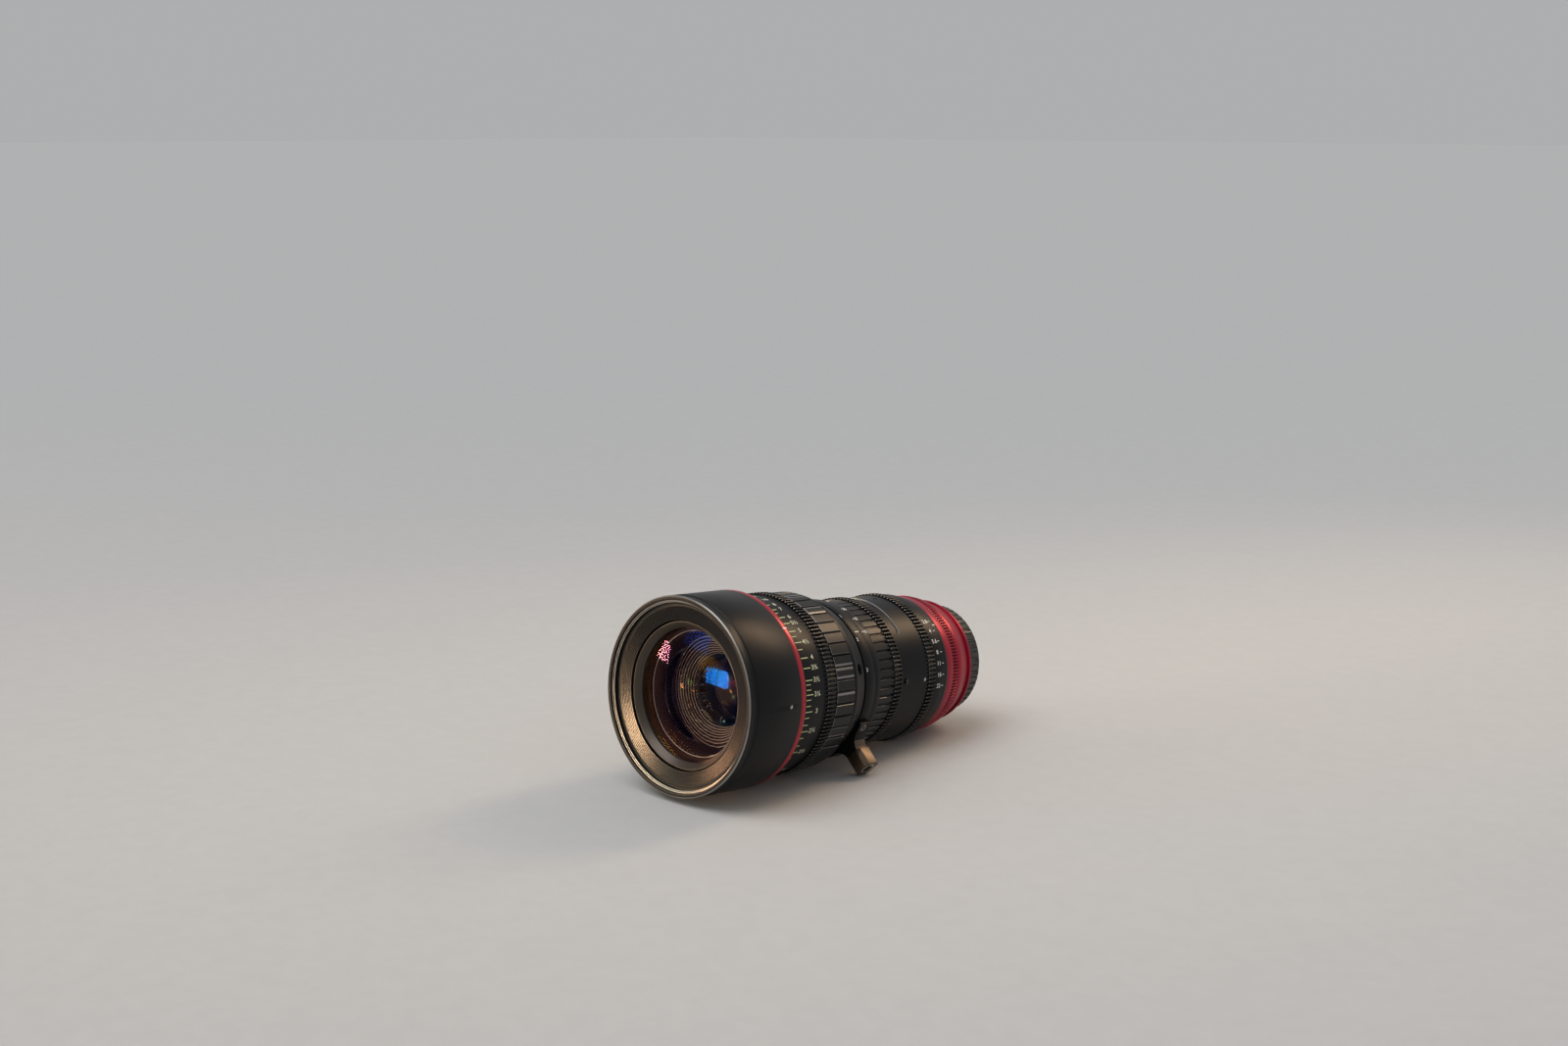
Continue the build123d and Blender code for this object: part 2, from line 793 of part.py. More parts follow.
def make_foot():
    saddle_end = radians(foot_saddle_sweep / 2)
    saddle_root = radians(foot_fillet_sweep / 2)
    base = centre_rear_radius - foot_saddle_base
    neck_top = foot_end() - foot_block_length
    neck_turn = foot_saddle_radius + foot_neck_curve * (neck_top - foot_neck_end - foot_saddle_radius)
    screw_rolls = (foot_roll - foot_screw_spread, foot_roll + foot_screw_spread)
    saddle_middle = foot_saddle_front + foot_saddle_length / 2

    def on(radius, angle):
        return (radius * cos(angle), radius * sin(angle))

    with BuildPart() as foot_bracket:
        with BuildSketch(across(foot_saddle_front, foot_roll)) as outline:
            with BuildLine():
                ThreePointArc(
                    on(foot_saddle_radius, saddle_end),
                    on(foot_saddle_radius, (saddle_end + saddle_root) / 2),
                    on(foot_saddle_radius, saddle_root),
                )
                ThreePointArc(
                    on(foot_saddle_radius, saddle_root),
                    (neck_turn, foot_neck_half + foot_neck_flare),
                    (neck_top - foot_neck_end, foot_neck_half),
                )
                Polyline(
                    (neck_top - foot_neck_end, foot_neck_half),
                    (neck_top, foot_neck_half),
                    (neck_top, -foot_neck_half),
                    (neck_top - foot_neck_end, -foot_neck_half),
                )
                ThreePointArc(
                    (neck_top - foot_neck_end, -foot_neck_half),
                    (neck_turn, -foot_neck_half - foot_neck_flare),
                    on(foot_saddle_radius, -saddle_root),
                )
                ThreePointArc(
                    on(foot_saddle_radius, -saddle_root),
                    on(foot_saddle_radius, -(saddle_end + saddle_root) / 2),
                    on(foot_saddle_radius, -saddle_end),
                )
                Polyline(
                    on(foot_saddle_radius, -saddle_end),
                    on(base, -saddle_end),
                    on(base, saddle_end),
                    on(foot_saddle_radius, saddle_end),
                )
            make_face()
        extrude(outline.sketch, amount=foot_saddle_length)
        ring(centre_front, zoom_ring_front, 0, centre_rear_radius + seat_gap, mode=Mode.SUBTRACT)
        for roll in screw_rolls:
            head_floor = foot_saddle_radius - foot_head_depth
            bore = foot_screw_radius + seat_gap
            radial_pin(saddle_middle, roll, base, foot_saddle_radius + cut_over, bore, Mode.SUBTRACT)
            bore = foot_screw_head + seat_gap
            radial_pin(saddle_middle, roll, head_floor, foot_saddle_radius + cut_over, bore, Mode.SUBTRACT)
    hand_over(foot_bracket, "foot_bracket")
    block_middle = foot_front + foot_width / 2
    thread_floor = foot_end() - foot_thread_depth
    with BuildPart() as foot_block:
        with BuildSketch(facing(block_middle, foot_roll, neck_top)) as outline:
            Rectangle(foot_width, 2 * foot_half_width)
            chamfer(outline.vertices(), foot_chamfer)
        extrude(outline.sketch, amount=foot_block_length)
        bore = foot_insert_radius + seat_gap
        radial_pin(block_middle, foot_roll, thread_floor, foot_end() + cut_over, bore, Mode.SUBTRACT)
    hand_over(foot_block, "foot_block")
    with BuildPart() as foot_thread_insert:
        radial_pin(block_middle, foot_roll, thread_floor, foot_end(), foot_insert_radius)
        mouth = foot_end() + cut_over
        radial_pin(block_middle, foot_roll, thread_floor, mouth, foot_thread_radius, Mode.SUBTRACT)
    hand_over(foot_thread_insert, "foot_thread_insert")
    with BuildPart() as foot_screws:
        for roll in screw_rolls:
            tip = centre_rear_radius - foot_screw_reach
            radial_pin(saddle_middle, roll, tip, head_floor, foot_screw_radius)
            top = foot_saddle_radius - foot_screw_recess
            radial_pin(saddle_middle, roll, head_floor, top, foot_screw_head)
            with BuildSketch(facing(saddle_middle, roll, head_floor + foot_socket_floor)) as socket:
                RegularPolygon(foot_socket_radius, 6)
            extrude(socket.sketch, amount=foot_head_depth, mode=Mode.SUBTRACT)
    hand_over(foot_screws, "foot_screws")


def make_main_barrel():
    inner = rear_tube_inner - cut_over
    outer = rear_tube_outer + cut_over
    with BuildPart() as main_barrel:
        ring(web_rear, index_ring_front, rear_tube_inner, rear_tube_outer)
        for place, pin, roll, rotation in (
            (zoom_key_place, zoom_key_radius, zoom_key_roll, zoom_rotation),
            (iris_key_place, iris_key_radius, index_roll, iris_rotation),
        ):
            spare = 2 * degrees((pin + tip_gap) / rear_tube_inner)
            arc_slot(place, 2 * (pin + slot_gap), inner, outer, roll, rotation + spare)
    hand_over(main_barrel, "main_barrel")


def make_zoom_ring():
    bore = rear_tube_outer + running_gap
    key_bore = zoom_key_radius + seat_gap
    sleeve = zoom_sleeve_radius + seat_gap
    with BuildPart() as zoom_scale_ring:
        turned(
            (zoom_ring_front, bore),
            (zoom_ring_rear, bore),
            (zoom_ring_rear, zoom_sleeve_radius),
            (zoom_grip_front, zoom_sleeve_radius),
            (zoom_grip_front, zoom_scale_radius),
            (zoom_ring_front, zoom_scale_radius),
        )
        radial_pin(zoom_key_place, zoom_key_roll, bore - cut_over, sleeve, key_bore, Mode.SUBTRACT)
    hand_over(zoom_scale_ring, "zoom_scale_ring")
    with BuildPart() as zoom_grip:
        ring(zoom_grip_front, zoom_gear_front, sleeve, zoom_grip_radius)
        grip_pads(
            zoom_grip_front,
            zoom_grip_length,
            zoom_grip_base,
            zoom_grip_radius,
            zoom_grip_pads,
            zoom_grip_groove,
        )
    hand_over(zoom_grip, "zoom_grip")
    with BuildPart() as zoom_gear:
        gear_ring(zoom_gear_front, zoom_gear_width, sleeve, zoom_teeth)
    hand_over(zoom_gear, "zoom_gear")
    with BuildPart() as zoom_key:
        radial_pin(zoom_key_place, zoom_key_roll, cam_inner, zoom_sleeve_radius, zoom_key_radius)
    hand_over(zoom_key, "zoom_key")
    with BuildPart() as zoom_cam_tube:
        ring(web_rear + side_gap, iris_base_front - side_gap, cam_inner, cam_outer)
        inner = cam_inner - cut_over
        outer = cam_outer + cut_over
        radial_pin(zoom_key_place, zoom_key_roll, inner, outer, key_bore, Mode.SUBTRACT)
        for roll in follower_rolls:
            cam_slot(variator_centre, roll, variator_lead, zoom_rotation, inner, outer, follower_radius)
            cam_slot(
                compensator_centre, roll, compensator_lead, zoom_rotation, inner, outer, follower_radius
            )
    hand_over(zoom_cam_tube, "zoom_cam_tube")


def make_zoom_guide_tube():
    with BuildPart() as zoom_guide_tube:
        ring(web_front, iris_base_front, guide_inner, guide_outer)
        width = 2 * (follower_radius + slot_gap)
        inner = guide_inner - cut_over
        outer = guide_outer + cut_over
        for roll in follower_rolls:
            for place, travel in (
                (variator_centre, variator_travel),
                (compensator_centre, -compensator_travel),
            ):
                axial_slot(place, travel + 2 * tip_gap, width, inner, outer, roll)
    hand_over(zoom_guide_tube, "zoom_guide_tube")


def make_sliding_group(node, centre, length, glass_radius, curve, thickness):
    """Cell that slides in the guide tube with its element and its two cam followers."""
    outer = guide_inner - sliding_gap
    front = centre - length / 2
    rear = centre + length / 2
    bore = glass_radius + seat_gap
    ledge = rear - group_ledge
    ledge_rear = ledge + group_ledge_width
    clear = glass_radius - group_glass_land
    pin_root = outer - follower_root
    with BuildPart() as cell:
        turned(
            (front, outer),
            (rear, outer),
            (rear, outer - group_wall),
            (ledge_rear, outer - group_wall),
            (ledge_rear, clear),
            (ledge, clear),
            (ledge, bore),
            (front, bore),
        )
        for roll in follower_rolls:
            pin_bore = follower_radius + seat_gap
            radial_pin(centre, roll, pin_root, outer + cut_over, pin_bore, Mode.SUBTRACT)
    hand_over(cell, f"{node}_cell")
    front_seat = ledge - thickness - 2 * sag(curve, clear)
    with BuildPart() as element:
        glass(front_seat, -curve, clear, ledge, curve, clear, glass_radius)
    hand_over(element, f"{node}_element")
    with BuildPart() as followers:
        for roll in follower_rolls:
            radial_pin(centre, roll, pin_root, cam_outer - tip_gap, follower_radius)
    hand_over(followers, f"{node}_followers")


def make_rear_barrel():
    floor = rear_barrel_radius - rear_slot_depth
    middle = rear_slot_front + rear_slot_width / 2
    over = rear_barrel_radius + cut_over
    with BuildPart() as rear_barrel:
        ring(rear_barrel_front, rear_barrel_rear, rear_tube_outer + seat_gap, rear_barrel_radius)
        slot_roll = rear_slot_roll - rear_slot_sweep / 2
        arc_slot(middle, rear_slot_width, floor, over, slot_roll, rear_slot_sweep)
        for roll in (rear_slot_roll, rear_slot_roll - rear_slot_sweep):
            radial_pin(middle, roll, floor, over, rear_slot_width / 2, Mode.SUBTRACT)
        for place, roll in rear_screws:
            radial_pin(place, roll, rear_barrel_radius - screw_depth, over, screw_radius, Mode.SUBTRACT)
        floor = rear_barrel_radius - rear_hole_depth
        radial_pin(rear_hole_place, rear_hole_roll, floor, over, rear_hole_radius, Mode.SUBTRACT)
    hand_over(rear_barrel, "rear_barrel")
    with BuildPart() as barrel_screws:
        for screws, radius in ((front_screws, front_radius), (rear_screws, rear_barrel_radius)):
            for place, roll in screws:
                top = radius - screw_recess
                radial_pin(place, roll, radius - screw_depth, top, screw_radius - seat_gap)
                with BuildSketch(facing(place, roll, top - screw_slot_depth)) as drive:
                    Rectangle(screw_slot_width, 2 * screw_radius)
                extrude(drive.sketch, amount=screw_slot_depth, mode=Mode.SUBTRACT)
    hand_over(barrel_screws, "barrel_screws")


def blade_plane(place, index, turn=0):
    """Plane at a blade's pivot, with x away from the optical axis."""
    roll = index * 360 / blade_count
    level = across(place, roll)
    origin = level.origin + level.x_dir * blade_pivot_circle
    return Plane(origin, x_dir=outward(roll + turn), z_dir=REAR)


def make_iris_blade(index):
    """Thin blade on its own level. It is drawn wide open and stands half closed at rest."""
    front = iris_base_rear + blade_gap + index * blade_level
    heel = radians(blade_heel)
    toe = radians(blade_sweep - blade_heel)
    middle = (toe - heel) / 2

    def point(radius, angle):
        return (radius * cos(angle) - blade_pivot_circle, radius * sin(angle))

    ear_x = blade_outer_radius - blade_pivot_circle - blade_ear_overlap
    open_lever = radians(90 - blade_turn / 2)
    drive = (blade_lever * cos(open_lever), blade_lever * sin(open_lever))
    with BuildPart() as blade:
        with BuildSketch(blade_plane(front, index, blade_turn / 2)) as outline:
            with BuildLine():
                Line(point(blade_inner_radius, -heel), point(blade_outer_radius, -heel))
                ThreePointArc(
                    point(blade_outer_radius, -heel),
                    point(blade_outer_radius, middle),
                    point(blade_outer_radius, toe),
                )
                Line(point(blade_outer_radius, toe), point(blade_inner_radius, toe))
                ThreePointArc(
                    point(blade_inner_radius, toe),
                    point(blade_inner_radius, middle),
                    point(blade_inner_radius, -heel),
                )
            make_face()
            with BuildLine():
                Polyline(
                    (0, -blade_ear_radius),
                    (ear_x, -blade_ear_radius),
                    (ear_x - blade_ear_overlap, drive[1] + blade_ear_radius),
                    (drive[0], drive[1] + blade_ear_radius),
                    (drive[0] + blade_ear_radius, drive[1]),
                    (blade_ear_radius, 0),
                    close=True,
                )
            make_face()
            Circle(blade_ear_radius)
            with Locations(drive):
                Circle(blade_ear_radius)
        extrude(outline.sketch, amount=blade_thickness)
        pin_front = iris_base_front + blade_pin_margin
        with BuildSketch(blade_plane(pin_front, index, blade_turn / 2)) as pivot:
            Circle(blade_pin_radius)
        extrude(pivot.sketch, amount=front + blade_thickness - pin_front)
        with BuildSketch(blade_plane(front, index, blade_turn / 2)) as lever:
            with Locations(drive):
                Circle(blade_pin_radius)
        extrude(lever.sketch, amount=drive_ring_rear - blade_pin_margin - front)
    hand_over(blade, f"iris_blade_{index + 1:02d}")


def drive_path(index):
    """Where a blade's drive pin lies in the drive ring, from wide open to closed."""
    points = []
    steps = 12
    for step in range(steps + 1):
        share = step / steps - 0.5
        lever = radians(90 + share * blade_turn)
        x = blade_pivot_circle + blade_lever * cos(lever)
        y = blade_lever * sin(lever)
        back = radians(index * 360 / blade_count - share * iris_rotation)
        points.append((x * cos(back) - y * sin(back), x * sin(back) + y * cos(back)))
    return points


def make_iris():
    outer = rear_tube_inner - seat_gap
    with BuildPart() as iris_base_plate:
        ring(iris_base_front, iris_base_rear, iris_opening, outer)
        with BuildSketch(across(iris_base_front)) as holes:
            with PolarLocations(blade_pivot_circle, blade_count):
                Circle(blade_pin_radius + pin_fit)
        extrude(holes.sketch, amount=iris_base_thickness, mode=Mode.SUBTRACT)
    hand_over(iris_base_plate, "iris_base_plate")
    for index in range(blade_count):
        make_iris_blade(index)
    rim = rear_tube_inner - running_gap
    with BuildPart() as iris_drive_ring:
        ring(drive_ring_front, drive_ring_rear, iris_opening, rim)
        for index in range(blade_count):
            path = drive_path(index)
            with BuildSketch(across(drive_ring_front)) as slot:
                with BuildLine() as line:
                    Spline(*path)
                trace(line.line, line_width=2 * (blade_pin_radius + slot_gap))
                with Locations(path[0], path[-1]):
                    Circle(blade_pin_radius + slot_gap)
            extrude(slot.sketch, amount=drive_ring_thickness, mode=Mode.SUBTRACT)
        floor = rear_tube_inner - iris_key_root
        bore = iris_key_radius / 2 + seat_gap
        radial_pin(iris_key_place, index_roll, floor, rim + cut_over, bore, Mode.SUBTRACT)
    hand_over(iris_drive_ring, "iris_drive_ring")
    with BuildPart() as iris_cover_plate:
        ring(iris_cover_front, iris_cover_rear, iris_opening, outer)
    hand_over(iris_cover_plate, "iris_cover_plate")


def make_iris_ring():
    bore = rear_tube_outer + running_gap
    key_bore = iris_key_radius + seat_gap
    sleeve = zoom_sleeve_radius + seat_gap
    with BuildPart() as iris_scale_ring:
        turned(
            (iris_ring_front, bore),
            (iris_scale_rear, bore),
            (iris_scale_rear, iris_scale_radius),
            (iris_gear_rear, iris_scale_radius),
            (iris_gear_rear, zoom_sleeve_radius),
            (iris_ring_front, zoom_sleeve_radius),
        )
        radial_pin(iris_key_place, index_roll, bore - cut_over, sleeve, key_bore, Mode.SUBTRACT)
    hand_over(iris_scale_ring, "iris_scale_ring")
    with BuildPart() as iris_gear:
        gear_ring(iris_ring_front, iris_gear_width, sleeve, iris_teeth)
    hand_over(iris_gear, "iris_gear")
    with BuildPart() as iris_key:
        shoulder = rear_tube_inner - running_gap + seat_gap
        radial_pin(iris_key_place, index_roll, shoulder, zoom_sleeve_radius, iris_key_radius)
        root = rear_tube_inner - iris_key_root + seat_gap
        radial_pin(iris_key_place, index_roll, root, shoulder, iris_key_radius / 2)
    hand_over(iris_key, "iris_key")


def make_relay():
    web_front = housing_front - relay_wall
    with BuildPart() as relay_cell:
        turned(
            (iris_cover_rear, relay_radius),
            (housing_front, relay_radius),
            (housing_front, relay_rear_radius),
            (relay_rear, relay_rear_radius),
            (relay_rear, relay_glass_radius + seat_gap),
            (relay_glass_front, relay_glass_radius + seat_gap),
            (relay_glass_front, relay_bore),
            (web_front, relay_bore),
            (web_front, relay_radius - relay_wall),
            (iris_cover_rear, relay_radius - relay_wall),
        )
    hand_over(relay_cell, "relay_cell")
    clear = relay_bore - relay_glass_land
    rear_seat = relay_glass_front + relay_glass_edge
    rear_clear = relay_glass_radius - relay_glass_land
    with BuildPart() as relay_element:
        glass(
            relay_glass_front,
            relay_glass_front_curve,
            clear,
            rear_seat,
            relay_glass_rear_curve,
            rear_clear,
            relay_glass_radius,
        )
    hand_over(relay_element, "relay_element")


def make_rear_rings():
    with BuildPart() as rear_index_ring:
        turned(
            (index_ring_front, housing_sleeve_outer + seat_gap),
            (collar_front, housing_sleeve_outer + seat_gap),
            (collar_front, index_ring_radius - index_ring_fall),
            (index_ring_front, index_ring_radius),
        )
    hand_over(rear_index_ring, "rear_index_ring")
    with BuildPart() as red_collar:
        ring(collar_front, collar_front + collar_width, housing_sleeve_outer + seat_gap, collar_radius)
    hand_over(red_collar, "red_collar")
    with BuildPart() as lock_ring:
        ring(lock_front, lock_rear, housing_sleeve_outer + running_gap, lock_radius)
        with BuildSketch(across(lock_front)) as gaps:
            with PolarLocations(lock_radius, lock_teeth):
                Polygon(
                    (-lock_tooth_depth, 0),
                    (tip_overcut, -lock_tooth_half),
                    (tip_overcut, lock_tooth_half),
                    align=None,
                )
        extrude(gaps.sketch, amount=lock_width, mode=Mode.SUBTRACT)
    hand_over(lock_ring, "lock_ring")


def make_mount_housing():
    seat = flange_distance - flange_thickness
    ridge_front = housing_waist_place + housing_ridge_offset
    ridge_rear = ridge_front + housing_ridge_width
    with BuildPart() as red_mount_housing:
        turned(
            (iris_cover_rear, housing_sleeve_inner),
            (housing_front + housing_step, housing_sleeve_inner),
            (housing_front + housing_step, housing_front_radius - housing_wall),
            (housing_waist_place, housing_waist - housing_wall),
            (seat - flange_ledge_depth, flange_radius - flange_ledge),
            (seat, flange_radius - flange_ledge),
            (seat, flange_radius + seat_gap),
            (housing_rear, flange_radius + seat_gap),
            (housing_rear, housing_rear_radius - housing_rear_bevel),
            (housing_rear - housing_rear_bevel, housing_rear_radius),
            (ridge_rear, housing_waist - housing_ridge_foot),
            (ridge_rear, housing_waist + housing_ridge_height),
            (ridge_front, housing_waist + housing_ridge_height),
            (ridge_front, housing_waist - housing_groove_depth),
            (housing_waist_place, housing_waist),
            (housing_front + housing_land, housing_front_radius),
            (housing_front, housing_front_radius),
            (housing_front, housing_sleeve_outer),
            (iris_cover_rear, housing_sleeve_outer),
        )
    hand_over(red_mount_housing, "red_mount_housing")


def mount_screw_rolls():
    """Angles of the screws that hold the bayonet."""
    return [mount_screw_roll + 360 / mount_screw_count * turn for turn in range(mount_screw_count)]


def make_bayonet():
    seat = flange_distance - flange_thickness
    tube_rear = flange_distance + bayonet_depth
    screw_circle = (flange_radius + claw_radius) / 2 + mount_screw_offset
    with BuildPart() as bayonet_mount:
        ring(seat, flange_distance, bayonet_throat, flange_radius)
        ring(flange_distance, tube_rear, bayonet_throat, bayonet_tube_radius)
        for claw in range(claw_count):
            start_roll = claw * 360 / claw_count - claw_sweep / 2
            start = Plane(FRONT, x_dir=REAR, z_dir=REAR.cross(outward(start_roll)))
            with BuildSketch(start) as profile:
                with Locations((tube_rear - claw_width / 2, (bayonet_throat + claw_radius) / 2)):
                    Rectangle(claw_width, claw_radius - bayonet_throat)
            revolve(profile.sketch, axis=OPTICAL_AXIS, revolution_arc=claw_sweep)
        for roll in mount_screw_rolls():
            place = across(flange_distance, roll)
            centre = place.origin + place.x_dir * screw_circle
            with BuildSketch(Plane(centre, x_dir=place.x_dir, z_dir=REAR)) as hole:
                Circle(mount_screw_radius + seat_gap)
            extrude(hole.sketch, amount=-flange_thickness, mode=Mode.SUBTRACT)
    hand_over(bayonet_mount, "bayonet_mount")
    with BuildPart() as mount_screws:
        for roll in mount_screw_rolls():
            place = across(seat, roll)
            centre = place.origin + place.x_dir * screw_circle
            with BuildSketch(Plane(centre, x_dir=place.x_dir, z_dir=REAR)) as head:
                Circle(mount_screw_radius)
            top = flange_thickness - mount_screw_recess
            extrude(head.sketch, amount=top)
            floor = centre + REAR * (top - cross_depth)
            with BuildSketch(Plane(floor, x_dir=place.x_dir, z_dir=REAR)) as cross:
                Rectangle(cross_length, cross_width)
                Rectangle(cross_width, cross_length)
            extrude(cross.sketch, amount=cross_depth, mode=Mode.SUBTRACT)
    hand_over(mount_screws, "mount_screws")


def make_rear_cap():
    rear = cap_front + cap_length
    floor = rear - cap_floor
    rest = flange_distance + side_gap
    collar_inner = claw_radius + cap_collar_gap
    with BuildPart() as rear_cap:
        turned(
            (cap_front, cap_bore),
            (cap_front, cap_radius),
            (rear - cap_edge, cap_radius),
            (rear, cap_radius - cap_edge),
            (rear, 0),
            (floor, 0),
            (floor, flange_radius),
            (rest, flange_radius),
            (rest, cap_bore),
        )
        ring(flange_distance + cap_collar_front, floor, collar_inner, collar_inner + cap_collar_wall)
        for lug in range(claw_count):
            start_roll = (lug + 0.5) * 360 / claw_count - claw_sweep / 2
            start = Plane(FRONT, x_dir=REAR, z_dir=REAR.cross(outward(start_roll)))
            with BuildSketch(start) as profile:
                with Locations((flange_distance + cap_lug_place, claw_radius + cap_lug_offset)):
                    Rectangle(cap_lug_width, cap_lug_height)
            revolve(profile.sketch, axis=OPTICAL_AXIS, revolution_arc=claw_sweep)
        with BuildSketch(across(cap_front)) as grooves:
            with PolarLocations(cap_radius + cap_rib_offset, cap_ribs):
                Circle(cap_rib_depth + cap_rib_offset)
        extrude(grooves.sketch, amount=cap_length, mode=Mode.SUBTRACT)
    hand_over(rear_cap, "rear_cap")


os.makedirs("parts", exist_ok=True)
make_front_barrel()
make_red_band()
make_light_baffle_ring()
make_front_glass()
make_front_cell()
make_focus_ring()
make_focus_cell()
make_focus_guide_tube()
make_centre_barrel()
make_foot()
make_main_barrel()
make_zoom_ring()
make_zoom_guide_tube()
make_sliding_group(
    "variator",
    variator_centre,
    variator_length,
    variator_glass_radius,
    variator_glass_curve,
    variator_glass_middle,
)
make_sliding_group(
    "compensator",
    compensator_centre,
    compensator_length,
    compensator_glass_radius,
    compensator_glass_curve,
    compensator_glass_middle,
)
make_rear_barrel()
make_iris()
make_iris_ring()
make_relay()
make_rear_rings()
make_mount_housing()
make_bayonet()
make_rear_cap()
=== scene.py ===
import json
from math import atan2, cos, degrees, radians, sin, sqrt

import bmesh
import bpy
from mathutils import Matrix, Vector


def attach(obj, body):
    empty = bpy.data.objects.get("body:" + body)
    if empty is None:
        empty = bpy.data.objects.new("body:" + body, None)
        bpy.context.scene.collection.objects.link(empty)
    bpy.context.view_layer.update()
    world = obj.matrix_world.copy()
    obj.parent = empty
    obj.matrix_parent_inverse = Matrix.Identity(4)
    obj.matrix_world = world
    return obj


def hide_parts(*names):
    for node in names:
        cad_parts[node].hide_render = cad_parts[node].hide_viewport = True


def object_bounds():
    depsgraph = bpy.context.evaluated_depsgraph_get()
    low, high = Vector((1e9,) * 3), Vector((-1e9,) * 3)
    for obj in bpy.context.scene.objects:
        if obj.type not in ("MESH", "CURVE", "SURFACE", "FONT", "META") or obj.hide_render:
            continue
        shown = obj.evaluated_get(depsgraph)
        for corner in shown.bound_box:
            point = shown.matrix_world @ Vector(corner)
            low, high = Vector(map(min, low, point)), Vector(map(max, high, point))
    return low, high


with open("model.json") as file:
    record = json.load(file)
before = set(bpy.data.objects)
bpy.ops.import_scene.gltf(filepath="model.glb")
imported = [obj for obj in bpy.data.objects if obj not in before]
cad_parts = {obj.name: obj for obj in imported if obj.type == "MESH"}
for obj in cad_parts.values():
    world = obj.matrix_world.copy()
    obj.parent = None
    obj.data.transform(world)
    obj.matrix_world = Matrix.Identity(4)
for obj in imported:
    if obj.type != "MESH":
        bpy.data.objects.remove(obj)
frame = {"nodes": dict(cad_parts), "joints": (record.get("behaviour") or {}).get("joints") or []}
cad_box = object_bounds()


# The photographer's view.
# A camera with a normal focal length looks slightly down on the lens's front three-quarter from 1.4 m away.
camera_place = (0.83847, -1.03735, 0.33775)
camera_turn = (79.366, -0.065, 42.932)
focal_length = 49.5
film_width = 36

bpy.ops.object.select_all(action="DESELECT")
bpy.ops.object.camera_add(location=camera_place, rotation=[radians(a) for a in camera_turn])
camera = bpy.context.object
camera.name = "photographer"
camera.data.lens = focal_length
camera.data.sensor_width = film_width
bpy.context.scene.camera = camera


# The table top.
# A wide sheet of pale grey paper that runs out of sight on every side.
sheet_width = 60
paper_light = (0.50, 0.502, 0.504, 1)
paper_dark = (0.455, 0.457, 0.46, 1)

bpy.ops.object.select_all(action="DESELECT")
bpy.ops.mesh.primitive_plane_add(size=sheet_width, location=(0, 0, min(cad_box[0][2], cad_box[1][2])))
table = bpy.context.object
table.name = "table_top"
bpy.ops.object.transform_apply(location=True)

paper = bpy.data.materials.new("pale_paper")
paper.use_nodes = True
paper_shader = paper.node_tree.nodes["Principled BSDF"]
paper_shader.inputs["Roughness"].default_value = 0.85
paper_shader.inputs["Specular IOR Level"].default_value = 0.2
paper_fibre = paper.node_tree.nodes.new("ShaderNodeTexNoise")
paper_fibre.inputs["Scale"].default_value = 90
paper_fibre.inputs["Detail"].default_value = 6
paper_place = paper.node_tree.nodes.new("ShaderNodeTexCoord")
paper_tone = paper.node_tree.nodes.new("ShaderNodeValToRGB")
paper_tone.color_ramp.elements[0].color = paper_dark
paper_tone.color_ramp.elements[1].color = paper_light
paper.node_tree.links.new(paper_place.outputs["Object"], paper_fibre.inputs["Vector"])
paper.node_tree.links.new(paper_fibre.outputs["Fac"], paper_tone.inputs["Fac"])
paper.node_tree.links.new(paper_tone.outputs["Color"], paper_shader.inputs["Base Color"])
table.data.materials.append(paper)


# Studio light.
# A broad overhead light, and soft boxes behind, in front and to the left. The one behind draws the long
# highlight along the barrels, the others colour the front ring and the glass. The room is plain pale grey.
overhead_direction = (0.13, 0.42, -0.85)
overhead_strength = 1.7
overhead_spread = 45
room_colour = (0.98, 0.99, 1.0, 1)
room_strength = 0.43


def soft_box(name, direction, distance, width, height, watts, spread, colour):
    """A rectangular lamp that faces the lens from a direction, with its spread in degrees."""
    place = Vector(direction).normalized() * distance
    bpy.ops.object.light_add(type="AREA", location=place)
    lamp = bpy.context.object
    lamp.name = name
    lamp.rotation_euler = (-place).to_track_quat("-Z", "Y").to_euler()
    lamp.data.shape = "RECTANGLE"
    lamp.data.size = width
    lamp.data.size_y = height
    lamp.data.energy = watts
    lamp.data.spread = radians(spread)
    lamp.data.color = colour


soft_box(
    "back_soft_box",
    direction=(0.18, 0.74, 0.64),
    distance=1.6,
    width=0.45,
    height=0.9,
    watts=1.05,
    spread=50,
    colour=(1.0, 0.69, 0.42),
)
soft_box(
    "front_soft_box",
    direction=(-0.42, -0.90, 0.035),
    distance=5.0,
    width=1.1,
    height=0.6,
    watts=6.0,
    spread=30,
    colour=(1.0, 0.70, 0.40),
)
soft_box(
    "left_soft_box",
    direction=(-0.88, -0.47, 0.035),
    distance=5.0,
    width=1.2,
    height=0.6,
    watts=4.6,
    spread=30,
    colour=(1.0, 0.56, 0.30),
)
soft_box(
    "cool_soft_box",
    direction=(-0.60, -0.77, 0.23),
    distance=2.0,
    width=0.5,
    height=0.3,
    watts=0.10,
    spread=30,
    colour=(0.40, 1.0, 0.90),
)
bpy.ops.object.light_add(type="SUN", location=(0, 0, 3))
overhead = bpy.context.object
overhead.name = "overhead_light"
overhead.rotation_euler = Vector(overhead_direction).to_track_quat("-Z", "Y").to_euler()
overhead.data.energy = overhead_strength
overhead.data.angle = radians(overhead_spread)

room = bpy.data.worlds.new("pale_room")
room.use_nodes = True
bpy.context.scene.world = room
room.node_tree.nodes["Background"].inputs["Color"].default_value = room_colour
room.node_tree.nodes["Background"].inputs["Strength"].default_value = room_strength
bpy.context.scene.view_settings.view_transform = "Standard"


